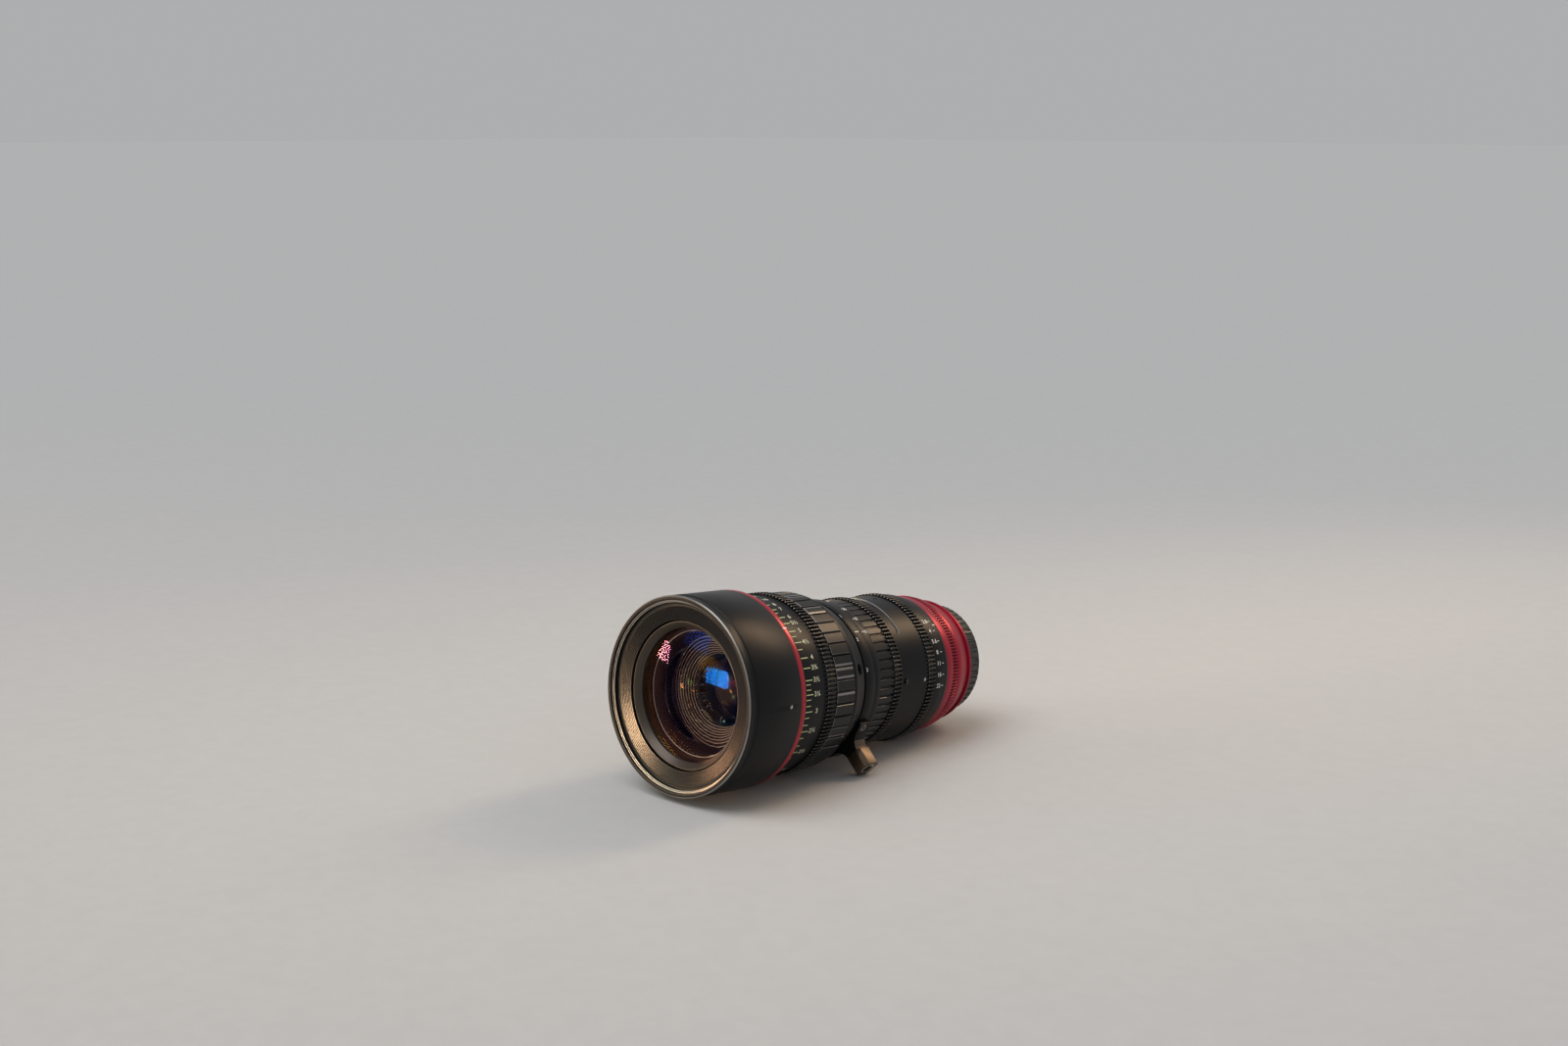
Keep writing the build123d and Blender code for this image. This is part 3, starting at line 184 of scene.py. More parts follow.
# Front barrel.
# A heavy aluminium tube turned in one piece, 114 mm across for a clip-on matte box, satin black anodised.
# Its rim is stepped inside, and its rear end is seated on the tube that the focus ring turns on.
MM = 0.001
front_to_flange = 222
weld_distance = 0.002
focus_turn = next(joint for joint in frame["joints"] if joint["name"] == "focus_turn")
rear = Vector(focus_turn["axis"]).normalized()
up = Vector((0, -rear.z, rear.y))
aside = Vector((1, 0, 0))


def axis_point(place):
    """Point on the optical axis at a place."""
    return rear * ((place - front_to_flange) * MM)


def outward(roll):
    """Direction away from the optical axis at a roll about it."""
    return up * cos(radians(roll)) + aside * sin(radians(roll))


def across_turn():
    """Rotation that lays a primitive's face across the optical axis, its x upwards."""
    return Matrix((up, rear.cross(up), rear)).transposed().to_euler()


def start_loop(name, place, radius, corners):
    """A circle of corners about the optical axis, the first loop of a new piece, open for editing."""
    bpy.ops.object.select_all(action="DESELECT")
    bpy.ops.mesh.primitive_circle_add(
        vertices=corners, radius=radius * MM, location=axis_point(place), rotation=across_turn()
    )
    piece = bpy.context.object
    piece.name = name
    piece.data.name = name
    bpy.ops.object.transform_apply(location=True, rotation=True)
    bpy.ops.object.mode_set(mode="EDIT")
    bpy.ops.mesh.select_all(action="SELECT")
    return piece


def close_piece(piece, edge_width, edge_angle=24, smooth_angle=30):
    """Weld what meets, turn the faces outwards, break the sharp edges and smooth the round ones."""
    bpy.ops.mesh.select_all(action="SELECT")
    bpy.ops.mesh.remove_doubles(threshold=weld_distance * MM)
    bpy.ops.mesh.normals_make_consistent(inside=False)
    bpy.ops.object.mode_set(mode="OBJECT")
    if edge_width:
        bpy.ops.object.modifier_add(type="BEVEL")
        piece.modifiers["Bevel"].width = edge_width * MM
        piece.modifiers["Bevel"].segments = 2
        piece.modifiers["Bevel"].limit_method = "ANGLE"
        piece.modifiers["Bevel"].angle_limit = radians(edge_angle)
        bpy.ops.object.modifier_apply(modifier="Bevel")
    bpy.ops.object.shade_smooth_by_angle(angle=radians(smooth_angle))


def turned(name, profile, edge_width=0.15, sides=240, smooth_angle=30):
    """A ring turned about the optical axis: one loop is drawn out from corner to corner of its profile."""
    piece = start_loop(name, profile[0][0], profile[0][1], sides)
    for (place, radius), (next_place, next_radius) in zip(profile, profile[1:] + profile[:1]):
        step = rear * ((next_place - place) * MM)
        bpy.ops.mesh.extrude_edges_move(TRANSFORM_OT_translate={"value": step})
        growth = next_radius / radius
        bpy.ops.transform.resize(value=(growth, growth, growth), center_override=axis_point(next_place))
    close_piece(piece, edge_width, smooth_angle=smooth_angle)
    return piece


def drill(piece, place, roll, radius, low, high):
    """A round hole cut square to the optical axis, between two radii."""
    middle = axis_point(place) + outward(roll) * ((low + high) / 2 * MM)
    bpy.ops.object.select_all(action="DESELECT")
    bpy.ops.mesh.primitive_cylinder_add(
        vertices=32,
        radius=radius * MM,
        depth=(high - low) * MM,
        location=middle,
        rotation=outward(roll).to_track_quat("Z", "Y").to_euler(),
    )
    cutter = bpy.context.object
    bpy.context.view_layer.objects.active = piece
    bpy.ops.object.modifier_add(type="BOOLEAN")
    piece.modifiers["Boolean"].object = cutter
    bpy.ops.object.modifier_apply(modifier="Boolean")
    bpy.data.objects.remove(cutter)
    piece.select_set(True)
    bpy.ops.object.shade_smooth_by_angle(angle=radians(30))


def dress(piece, finish, body, nodes):
    """Give a finished piece its material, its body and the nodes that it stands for."""
    piece.data.materials.clear()
    piece.data.materials.append(finish)
    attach(piece, body)
    if nodes:
        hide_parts(*nodes)


def second_finish(piece, finish, chosen):
    """Give another finish to the faces that a test picks by place, radius, roll and normal."""
    piece.data.materials.append(finish)
    slot_number = len(piece.data.materials) - 1
    for face in piece.data.polygons:
        arm = face.center - rear * face.center.dot(rear)
        place = face.center.dot(rear) / MM + front_to_flange
        roll = degrees(atan2(arm.dot(aside), arm.dot(up)))
        if chosen(place, arm.length / MM, roll, face.normal):
            face.material_index = slot_number


def new_node(material, kind, **settings):
    """A new node of a material, with its sockets set by name."""
    node = material.node_tree.nodes.new(kind)
    for socket, value in settings.items():
        node.inputs[socket.replace("_", " ")].default_value = value
    return node


def lathe_coordinates(material):
    """Place along the optical axis and distance from it, as the x and y of a vector, in metres."""
    links = material.node_tree.links
    coordinates = new_node(material, "ShaderNodeTexCoord")
    along = new_node(material, "ShaderNodeVectorMath")
    along.operation = "DOT_PRODUCT"
    along.inputs[1].default_value = rear
    links.new(coordinates.outputs["Object"], along.inputs[0])
    foot = new_node(material, "ShaderNodeVectorMath")
    foot.operation = "SCALE"
    foot.inputs[0].default_value = rear
    links.new(along.outputs["Value"], foot.inputs["Scale"])
    arm = new_node(material, "ShaderNodeVectorMath")
    arm.operation = "DISTANCE"
    links.new(coordinates.outputs["Object"], arm.inputs[0])
    links.new(foot.outputs["Vector"], arm.inputs[1])
    both = new_node(material, "ShaderNodeCombineXYZ")
    links.new(along.outputs["Value"], both.inputs["X"])
    links.new(arm.outputs["Value"], both.inputs["Y"])
    return coordinates.outputs["Object"], both.outputs["Vector"]


def metal_finish(
    name, light, dark, metallic, roughness, specular=0.5, tint=(1, 1, 1), turning=0.25, grain=0.5
):
    """Anodised, blackened or plated metal: fine turning marks round the axis under a fine matt grain."""
    material = bpy.data.materials.new(name)
    material.use_nodes = True
    links = material.node_tree.links
    shader = material.node_tree.nodes["Principled BSDF"]
    shader.inputs["Metallic"].default_value = metallic
    shader.inputs["Specular IOR Level"].default_value = specular
    shader.inputs["Specular Tint"].default_value = (*tint, 1)
    place, lathe = lathe_coordinates(material)
    marks = new_node(material, "ShaderNodeTexNoise", Scale=5200, Detail=3, Roughness=0.65)
    links.new(lathe, marks.inputs["Vector"])
    matt = new_node(material, "ShaderNodeTexNoise", Scale=4200, Detail=2, Roughness=0.6)
    links.new(place, matt.inputs["Vector"])
    cloud = new_node(material, "ShaderNodeTexNoise", Scale=38, Detail=5, Roughness=0.6)
    links.new(place, cloud.inputs["Vector"])
    tone = new_node(material, "ShaderNodeValToRGB")
    tone.color_ramp.elements[0].position = 0.3
    tone.color_ramp.elements[0].color = (*dark, 1)
    tone.color_ramp.elements[1].position = 0.7
    tone.color_ramp.elements[1].color = (*light, 1)
    links.new(cloud.outputs["Fac"], tone.inputs["Fac"])
    links.new(tone.outputs["Color"], shader.inputs["Base Color"])
    gloss = new_node(material, "ShaderNodeMapRange", To_Min=roughness - 0.05, To_Max=roughness + 0.07)
    links.new(cloud.outputs["Fac"], gloss.inputs["Value"])
    links.new(gloss.outputs["Result"], shader.inputs["Roughness"])
    relief = new_node(material, "ShaderNodeBump", Strength=turning, Distance=0.00002)
    links.new(marks.outputs["Fac"], relief.inputs["Height"])
    grit = new_node(material, "ShaderNodeBump", Strength=grain, Distance=0.00001)
    links.new(matt.outputs["Fac"], grit.inputs["Height"])
    links.new(relief.outputs["Normal"], grit.inputs["Normal"])
    links.new(grit.outputs["Normal"], shader.inputs["Normal"])
    return material


neutral_sheen = (1.0, 0.99, 0.97)
barrel_black = metal_finish(
    "satin_black_anodising",
    light=(0.0052, 0.0060, 0.0078),
    dark=(0.0032, 0.0037, 0.0050),
    metallic=0.0,
    roughness=0.35,
    specular=0.17,
    tint=neutral_sheen,
)
# A pale metal painted on the broken edges of rims, grips and gears, as their highlight.
edge_highlight_paint = metal_finish(
    "pale_edges_painted_highlight",
    light=(0.23, 0.225, 0.22),
    dark=(0.15, 0.146, 0.143),
    metallic=0.6,
    roughness=0.30,
    turning=0.2,
)
front_radius = 57.0
rim_face = -2.69
outer_rim_step = -1.3
inner_rim_step = -0.6
band_front = 39.0
band_rear = 42.5
front_barrel = turned(
    "front_barrel_shell",
    [
        (rim_face, 56.3),
        (-2.0, front_radius),
        (-0.3, front_radius),
        (0.1, 56.5),
        (3.9, 56.5),
        (4.3, front_radius),
        (band_front, front_radius),
        (band_front, 54.0),
        (band_rear, 54.0),
        (band_rear, 48.45),
        (29.0, 48.45),
        (29.0, 44.05),
        (9.0, 44.05),
        (9.0, 52.0),
        (1.5, 52.0),
        (1.5, 52.9),
        (inner_rim_step, 53.0),
        (inner_rim_step, 53.5),
        (outer_rim_step, 53.6),
        (outer_rim_step, 54.3),
        (rim_face, 54.4),
    ],
    edge_width=0.1,
)
screw_radius = 1.3
for screw_place, screw_roll in ((31.0, 89.0), (36.6, -8.0), (31.0, 210.0)):
    drill(front_barrel, screw_place, screw_roll, screw_radius, low=54.6, high=58)
dress(front_barrel, barrel_black, "lens_barrel", ["front_barrel"])


def on_rim_edge(place, radius, roll, normal):
    """The two fine inner steps of the rim and the broken edges of its outside, which get a painted
    highlight.
    """
    near_step = abs(place - outer_rim_step) < 0.12 or abs(place - inner_rim_step) < 0.12
    steps = near_step and 52.9 < radius < 54.3
    corner = place < -2.02 and radius > 56.32
    line = -0.32 < place < 0.12 and radius > 56.5
    return steps or corner or line


# The rim's fine steps and broken edges get pale metal, a painted highlight.
second_finish(front_barrel, edge_highlight_paint, on_rim_edge)


# Red trim band.
# A thin aluminium ring, anodised a bright rose red, shrunk on over the front barrel's rear end.
band_red = metal_finish(
    "red_band_anodising",
    light=(0.38, 0.016, 0.034),
    dark=(0.31, 0.012, 0.027),
    metallic=0.3,
    roughness=0.28,
    tint=(1, 0.9, 0.85),
    turning=0.05,
)
red_band = turned(
    "red_band_ring",
    [(band_front, 54.05), (band_front, front_radius), (band_rear, front_radius), (band_rear, 54.05)],
    edge_width=0.25,
)
dress(red_band, band_red, "lens_barrel", ["red_band"])


# Ribbed light baffle in the front recess.
# A shallow aluminium cone, anodised dark bronze, that sits in the front barrel's recess. Its eight fine
# concentric ridges kill stray light.
bronze = metal_finish(
    "bronze_anodising",
    light=(0.040, 0.036, 0.034),
    dark=(0.033, 0.030, 0.029),
    metallic=0.9,
    roughness=0.23,
    turning=0.12,
    grain=0.15,
)
ridge_count = 8
ridge_outer = 50.75
ridge_inner = 42.6
cone_front = 1.4
cone_back = 3.0
ridge_step = (ridge_outer - ridge_inner) / ridge_count
ridge_fall = (cone_back - cone_front) / ridge_count
groove_depth = 0.60
ridge_profile = [(9.0, 41.95), (9.0, 51.95), (cone_front, 51.95), (cone_front, 50.9)]
for ridge in range(ridge_count):
    share = ridge / ridge_count
    ridge_radius = ridge_outer + (ridge_inner - ridge_outer) * share
    ridge_place = cone_front + (cone_back - cone_front) * share
    ridge_profile.append((ridge_place, ridge_radius))
    ridge_profile.append((ridge_place + 0.52 * ridge_fall, ridge_radius - 0.52 * ridge_step))
    ridge_profile.append((ridge_place + groove_depth, ridge_radius - 0.76 * ridge_step))
ridge_profile += [(cone_back, ridge_inner), (5.2, 42.5), (5.2, 41.95)]
light_baffle = turned("light_baffle_cone", ridge_profile, edge_width=0, smooth_angle=12)
dress(light_baffle, bronze, "lens_barrel", ["light_baffle_ring"])


def in_groove(place, radius, roll, normal):
    """The ring's borders and the steep sides of its grooves, painted black as shade."""
    return radius > 50.8 or radius < 42.58 or abs(normal.dot(rear)) < 0.9


# The borders and groove sides get black anodising, painted shade.
second_finish(light_baffle, barrel_black, in_groove)


# Retaining ring of the front glass.
# A threaded aluminium ring, anodised a duller bronze, whose face slopes down like a funnel to the glass.
dull_bronze = metal_finish(
    "dull_bronze_anodising",
    light=(0.058, 0.047, 0.038),
    dark=(0.044, 0.036, 0.030),
    metallic=0.6,
    roughness=0.33,
    specular=0.4,
    turning=0.6,
)
retaining_ring = turned(
    "front_retaining_ring_dressed",
    [(7.2, 38.05), (3.8, 41.4), (3.8, 41.9), (8.9, 41.9), (8.9, 38.05)],
    edge_width=0.12,
)
dress(retaining_ring, dull_bronze, "lens_barrel", ["front_retaining_ring"])


# Front glass and second glass.
# Two deeply curved menisci of optical glass, seated in the front cell. Their thin coating shows as blue and
# violet in reflections.
def coated_glass(name, film, film_index, tint):
    """Clear optical glass under a thin anti-reflection film of a thickness in nanometres."""
    material = bpy.data.materials.new(name)
    material.use_nodes = True
    shader = material.node_tree.nodes["Principled BSDF"]
    shader.inputs["Transmission Weight"].default_value = 1
    shader.inputs["IOR"].default_value = 1.52
    shader.inputs["Roughness"].default_value = 0
    shader.inputs["Thin Film Thickness"].default_value = film
    shader.inputs["Thin Film IOR"].default_value = film_index
    coordinates = new_node(material, "ShaderNodeTexCoord")
    dust = new_node(material, "ShaderNodeTexNoise", Scale=600, Detail=4)
    material.node_tree.links.new(coordinates.outputs["Object"], dust.inputs["Vector"])
    tone = new_node(material, "ShaderNodeMix")
    tone.data_type = "RGBA"
    tone.inputs["A"].default_value = (*tint, 1)
    tone.inputs["B"].default_value = (tint[0] * 0.97, tint[1] * 0.98, tint[2], 1)
    material.node_tree.links.new(dust.outputs["Fac"], tone.inputs["Factor"])
    material.node_tree.links.new(tone.outputs["Result"], shader.inputs["Base Color"])
    return material


def spherical(curve, seat, clear, steps, inwards):
    """Corners along a spherical face, from its seat's edge to the axis or back."""
    apex = seat - (curve - sqrt(curve**2 - clear**2))
    corners = []
    for step in range(steps + 1):
        radius = max(clear * (1 - step / steps), 0.02)
        corners.append((apex + curve - sqrt(curve**2 - radius**2), radius))
    return corners if inwards else corners[::-1]


def lens_element(name, front_seat, front_curve, front_clear, rear_seat, rear_curve, rear_clear, edge):
    """A glass with spherical faces inside flat seats, fine enough to refract cleanly."""
    steps = 40
    profile = [(rear_seat, edge), (front_seat, edge)]
    profile += spherical(front_curve, front_seat, front_clear, steps, True)
    profile += spherical(rear_curve, rear_seat, rear_clear, steps, False)
    return turned(name, profile, edge_width=0, sides=192, smooth_angle=20)


coated = coated_glass("coated_front_glass", film=138, film_index=1.25, tint=(1.0, 0.985, 0.97))
front_glass = lens_element(
    "front_glass",
    front_seat=9.0,
    front_curve=150,
    front_clear=38.0,
    rear_seat=21.2,
    rear_curve=48.06,
    rear_clear=34.0,
    edge=40.0,
)
dress(front_glass, coated, "lens_barrel", ["front_element"])
inner_coated = coated_glass("coated_inner_glass", film=112, film_index=1.235, tint=(1.0, 0.98, 0.95))
second_glass = lens_element(
    "second_glass",
    front_seat=44.0,
    front_curve=210,
    front_clear=24.0,
    rear_seat=52.3,
    rear_curve=46,
    rear_clear=24.0,
    edge=27.0,
)
dress(second_glass, inner_coated, "lens_barrel", ["second_element"])


# Front cell.
# The aluminium cell that holds the two front glasses. Between them it is stepped into rings, blackened with
# a reddish cast, and each ring's edge has a fine bronze line painted on as its highlight.
cell_red = metal_finish(
    "reddish_black_cell",
    light=(0.034, 0.0105, 0.0075),
    dark=(0.022, 0.0070, 0.0052),
    metallic=0.0,
    roughness=0.60,
    specular=0.15,
    tint=(1, 0.7, 0.5),
    turning=0.2,
)
# Pale bronze painted on the rings' edges as their highlight.
step_highlight_bronze = metal_finish(
    "ring_edges_painted_highlight",
    light=(0.75, 0.55, 0.42),
    dark=(0.58, 0.42, 0.32),
    metallic=0.1,
    roughness=0.40,
    turning=0.2,
)
cone_steps = 9
cone_wide = 34.4
cone_narrow = 25.0
first_seat = 21.2
second_seat = 44.0
cell_profile = [(9.05, 44.0), (9.05, 40.1), (first_seat, 40.1)]
for step in range(cone_steps):
    ring_radius = cone_wide - (cone_wide - cone_narrow) * step / cone_steps
    ring_front = first_seat + (second_seat - first_seat) * step / cone_steps
    ring_back = first_seat + (second_seat - first_seat) * (step + 1) / cone_steps
    cell_profile.append((ring_front, ring_radius + 0.32))
    cell_profile.append((ring_front + 0.12, ring_radius))
    cell_profile.append((ring_back, ring_radius + 0.1))
cell_profile += [(second_seat, 27.05), (55.0, 27.05), (55.0, 44.0)]
front_cell = turned("front_cell_dressed", cell_profile, edge_width=0, sides=192)
dress(front_cell, cell_red, "lens_barrel", ["front_cell"])


def on_step_edge(place, radius, roll, normal):
    """The broken edge at the front of each of the cell's rings, which gets a painted highlight."""
    return place < 43.9 and radius < 34.8 and 0.8 < abs(normal.dot(rear)) < 0.98


second_finish(front_cell, step_highlight_bronze, on_step_edge)


# Focus ring: the scale.
# A black anodised aluminium sleeve that turns behind the red band. Distances are cut into it and filled
# with pale yellow-green paint, closer together the further away they are.
focus_land = 52.3
focus_scale = turned(
    "focus_scale_sleeve",
    [
        (42.8, 48.7),
        (42.8, 52.0),
        (43.1, focus_land),
        (63.5, focus_land),
        (63.6, 52.1),
        (63.9, 52.1),
        (64.0, focus_land),
        (65.4, focus_land),
        (65.4, 50.5),
        (89.4, 50.5),
        (89.4, 48.7),
    ],
)
dress(focus_scale, barrel_black, "focus_ring", ["focus_scale_ring"])


def paint_finish(name, colour):
    """Enamel filled into engraved marks, matt and slightly uneven."""
    material = bpy.data.materials.new(name)
    material.use_nodes = True
    shader = material.node_tree.nodes["Principled BSDF"]
    shader.inputs["Roughness"].default_value = 0.55
    coordinates = new_node(material, "ShaderNodeTexCoord")
    uneven = new_node(material, "ShaderNodeTexNoise", Scale=1500, Detail=3)
    material.node_tree.links.new(coordinates.outputs["Object"], uneven.inputs["Vector"])
    tone = new_node(material, "ShaderNodeValToRGB")
    tone.color_ramp.elements[0].position = 0.25
    tone.color_ramp.elements[0].color = (*[c * 0.82 for c in colour], 1)
    tone.color_ramp.elements[1].position = 0.6
    tone.color_ramp.elements[1].color = (*colour, 1)
    material.node_tree.links.new(uneven.outputs["Fac"], tone.inputs["Fac"])
    material.node_tree.links.new(tone.outputs["Color"], shader.inputs["Base Color"])
    return material


def onto_barrel(piece, place, roll, radius):
    """Bend a flat mark round the barrel: its x runs rearwards and its y towards smaller rolls."""
    for vertex in piece.data.vertices:
        along, round_barrel, height = vertex.co
        turn = roll - degrees(round_barrel / (radius * MM))
        vertex.co = axis_point(place) + rear * along + outward(turn) * (radius * MM + height)
    piece.location = (0, 0, 0)
    piece.data.update()


mark_height = 0.03
size_for_height = 1.42
stroke_gain = 0.02


def dash(place, roll, radius, length, width):
    """A painted line along the barrel, thin and slightly rounded by the barrel's curve."""
    bpy.ops.object.select_all(action="DESELECT")
    bpy.ops.mesh.primitive_cube_add(size=1)
    line = bpy.context.object
    line.scale = (length * MM, width * MM, mark_height * 2 * MM)
    bpy.ops.object.transform_apply(scale=True)
    onto_barrel(line, place, roll, radius)
    return line


def figure(words, place, roll, radius, height):
    """A painted number that reads rearwards along the barrel."""
    bpy.ops.object.select_all(action="DESELECT")
    bpy.ops.object.text_add()
    number = bpy.context.object
    number.data.body = words
    number.data.size = height * size_for_height * MM
    number.data.align_x = "CENTER"
    number.data.align_y = "CENTER"
    number.data.extrude = mark_height * MM
    number.data.offset = stroke_gain * MM
    number.data.resolution_u = 3
    bpy.ops.object.convert(target="MESH")
    number = bpy.context.object
    onto_barrel(number, place, roll, radius)
    return number


def join_marks(name, marks, finish, body):
    """Join a scale's marks into one piece on its ring."""
    bpy.ops.object.select_all(action="DESELECT")
    for mark in marks:
        mark.select_set(True)
    bpy.context.view_layer.objects.active = marks[0]
    bpy.ops.object.join()
    scale = bpy.context.object
    scale.name = name
    scale.data.name = name
    dress(scale, finish, body, [])


infinity_roll = -23
distance_turn = 296
distance_offset = 0.5
tick_place = 50.9
tick_length = 5.6
tick_width = 0.5
number_place = 57.3
number_height = 2.9
infinity_height = 2.6
short_tick_place = 50.0
short_tick_length = 3.7
short_tick_width = 0.45


def focus_roll(distance):
    """Where a distance in feet stands on the focus ring."""
    return infinity_roll + distance_turn / (distance - distance_offset)


scale_green = paint_finish("yellow_green_enamel", (0.62, 0.74, 0.34))
scale_cream = paint_finish("pale_yellow_enamel", (0.78, 0.78, 0.56))
distances = {
    30: "30", 15: "15", 10: "10", 8: "8", 7: "7", 6: "6", 5.5: "5½", 5: "5", 4.5: "4½", 4: "4",
    3.75: "3¾", 3.5: "3½", 3.25: "3¼", 3: "3", 2.75: "2¾", 2.5: "2½", 2.25: "2¼", 2: "2", 1.75: "1¾",
}
distances_between = (
    12, 9, 6.5, 4.75, 4.25, 3.42, 3.33, 3.17, 3.08, 2.92, 2.83, 2.67, 2.58, 2.42, 2.33, 2.12, 1.87
)
focus_ticks = [dash(tick_place, infinity_roll, focus_land, tick_length, tick_width)]
focus_numbers = [figure("∞", number_place, infinity_roll, focus_land, infinity_height)]
for distance, words in distances.items():
    focus_ticks.append(dash(tick_place, focus_roll(distance), focus_land, tick_length, tick_width))
    focus_numbers.append(figure(words, number_place, focus_roll(distance), focus_land, number_height))
for distance in distances_between:
    short_tick = dash(
        short_tick_place, focus_roll(distance), focus_land, short_tick_length, short_tick_width
    )
    focus_ticks.append(short_tick)
join_marks("focus_distance_ticks", focus_ticks, scale_green, "focus_ring")
join_marks("focus_distance_numbers", focus_numbers, scale_cream, "focus_ring")


# Follow-focus gears.
# Three bands of 0.8 module teeth, moulded in hard black plastic, one on each ring. The edges under their
# tooth tips are painted pale metal as a highlight.
def toothed(name, tooth, count, front, back, bore, lead_in=0.25):
    """A ring that repeats one tooth, given as shares of the pitch and radii, with its ends lowered."""
    pitch = 360 / count
    piece = start_loop(name, front, bore, len(tooth) * count)

    def corner(vertex):
        """A corner's arm from the optical axis, and its roll."""
        arm = vertex.co - rear * vertex.co.dot(rear)
        roll = degrees(atan2(arm.dot(aside), arm.dot(up))) % 360
        return arm, roll

    def shape(radii, place):
        """Move the new loop to its place, each corner to the radius of its own point of the tooth."""
        mesh = bmesh.from_edit_mesh(piece.data)
        for vertex in mesh.verts:
            if vertex.select:
                arm, roll = corner(vertex)
                share = (roll / pitch) % 1
                apart = [abs(share - corner_share) for corner_share, radius in tooth]
                apart = [min(gap, 1 - gap) for gap in apart]
                nearest = apart.index(min(apart))
                vertex.co = axis_point(place) + arm.normalized() * (radii[nearest] * MM)
        bmesh.update_edit_mesh(piece.data)

    mesh = bmesh.from_edit_mesh(piece.data)
    for vertex in mesh.verts:
        arm, roll = corner(vertex)
        index = round(roll / pitch * len(tooth))
        exact = (index // len(tooth) + tooth[index % len(tooth)][0]) * pitch
        vertex.co = axis_point(front) + outward(exact) * (bore * MM)
    bmesh.update_edit_mesh(piece.data)
    full = [radius for share, radius in tooth]
    lowered = [radius - lead_in for radius in full]
    bores = [bore] * len(tooth)
    for radii, place in (
        (lowered, front),
        (full, front + lead_in),
        (full, back - lead_in),
        (lowered, back),
        (bores, back),
        (bores, front),
    ):
        bpy.ops.mesh.extrude_edges_move(TRANSFORM_OT_translate={"value": (0, 0, 0)})
        shape(radii, place)
    close_piece(piece, 0)
    return piece


gear_module = 0.8


def gear_tip(count):
    """Radius of a follow-focus gear's tooth tips."""
    return gear_module * (count + 2) / 2


def gear_tooth(count):
    """One tooth of a follow-focus gear, with slightly rounded tip and root."""
    tip = gear_tip(count)
    root = tip - 2.25 * gear_module
    return [(0.02, tip - 0.12), (0.10, tip), (0.30, tip), (0.38, tip - 0.12), (0.53, root), (0.87, root)]


gear_black = metal_finish(
    "black_gear_plastic",
    light=(0.0085, 0.0088, 0.0095),
    dark=(0.0055, 0.0058, 0.0064),
    metallic=0.0,
    roughness=0.32,
    specular=0.3,
    tint=neutral_sheen,
    turning=0.05,
    grain=0.6,
)


def paint_crest_highlights(piece, top, lean=0.0):
    """Paint a highlight on the broken edges just under a ring's crests, where they lean along the axis
    enough.
    """

    def on_crest(place, radius, roll, normal):
        return top - 0.2 < radius < top - 0.045 and abs(normal.dot(rear)) >= lean

    second_finish(piece, edge_highlight_paint, on_crest)


focus_teeth = 132
focus_gear = toothed(
    "focus_gear_teeth", gear_tooth(focus_teeth), focus_teeth, front=65.4, back=72.4, bore=50.55
)
dress(focus_gear, gear_black, "focus_ring", ["focus_gear"])
paint_crest_highlights(focus_gear, gear_tip(focus_teeth), lean=0.3)


# Focus grip.
# A ring of broad flat pads parted by narrow grooves, machined in aluminium and anodised black. It is seated
# on the sleeve. Its pads' crisp edges are painted pale as a highlight, and its groove floors a darker black
# as painted shade.
def pad_tooth(base, top, groove_share):
    """One grip pad: narrow rounded shoulders, a flat top and the groove beside it."""
    half = groove_share / 2
    shoulder = 0.025
    shoulder_drop = 0.2
    return [
        (half * 0.7, base),
        (half, top - shoulder_drop),
        (half + shoulder, top),
        (half + 0.18, top),
        (0.5, top),
        (1 - half - 0.18, top),
        (1 - half - shoulder, top),
        (1 - half, top - shoulder_drop),
        (1 - half * 0.7, base),
    ]


grip_black = metal_finish(
    "satin_black_grip",
    light=(0.0090, 0.0092, 0.0098),
    dark=(0.0060, 0.0062, 0.0068),
    metallic=0.0,
    roughness=0.33,
    specular=0.28,
    tint=neutral_sheen,
    turning=0.2,
)
focus_pad = pad_tooth(base=51.5, top=52.5, groove_share=0.17)
focus_grip = toothed("focus_grip_pads", focus_pad, 46, front=74.4, back=89.4, bore=50.55, lead_in=0.18)
dress(focus_grip, grip_black, "focus_ring", ["focus_grip"])
# The pads' edges get pale metal, a painted highlight.
paint_crest_highlights(focus_grip, 52.5)
# The groove floors get the darker barrel black, painted shade.
second_finish(focus_grip, barrel_black, lambda place, radius, roll, normal: radius < 51.9)
grip_collar = turned(
    "focus_grip_collar", [(72.4, 50.55), (72.4, 51.5), (74.4, 51.5), (74.4, 50.55)], edge_width=0.1
)
dress(grip_collar, grip_black, "focus_ring", [])


# Centre barrel.
# The fixed aluminium shell between the focus and zoom rings tapers towards the rear. It carries the foot, a
# small threaded hole, a narrow groove and the white index of the zoom ring.
hole_place = 98.6
hole_roll = 73.5
neck_radius = 46.2
centre_barrel = turned(
    "centre_barrel_shell",
    [
        (89.7, 48.45),
        (89.7, 51.6),
        (92.7, 51.6),
        (hole_place, 48.9),
        (104.6, neck_radius),
        (105.0, neck_radius),
        (105.0, 45.4),
        (106.4, 45.4),
        (106.4, neck_radius),
        (114.6, neck_radius),
        (114.6, 41.85),
        (102.2, 41.85),
        (102.2, 36.45),
        (95.0, 36.45),
        (95.0, 48.45),
    ],
)
drill(centre_barrel, hole_place, hole_roll, radius=3.3, low=47.11, high=53)
drill(centre_barrel, hole_place, hole_roll, radius=2.5, low=42.11, high=53)
dress(centre_barrel, barrel_black, "lens_barrel", ["centre_barrel"])
white_enamel = paint_finish("white_enamel", (0.80, 0.80, 0.77))
centre_marks = [dash(110.6, 45.0, neck_radius, length=3.4, width=0.6)]
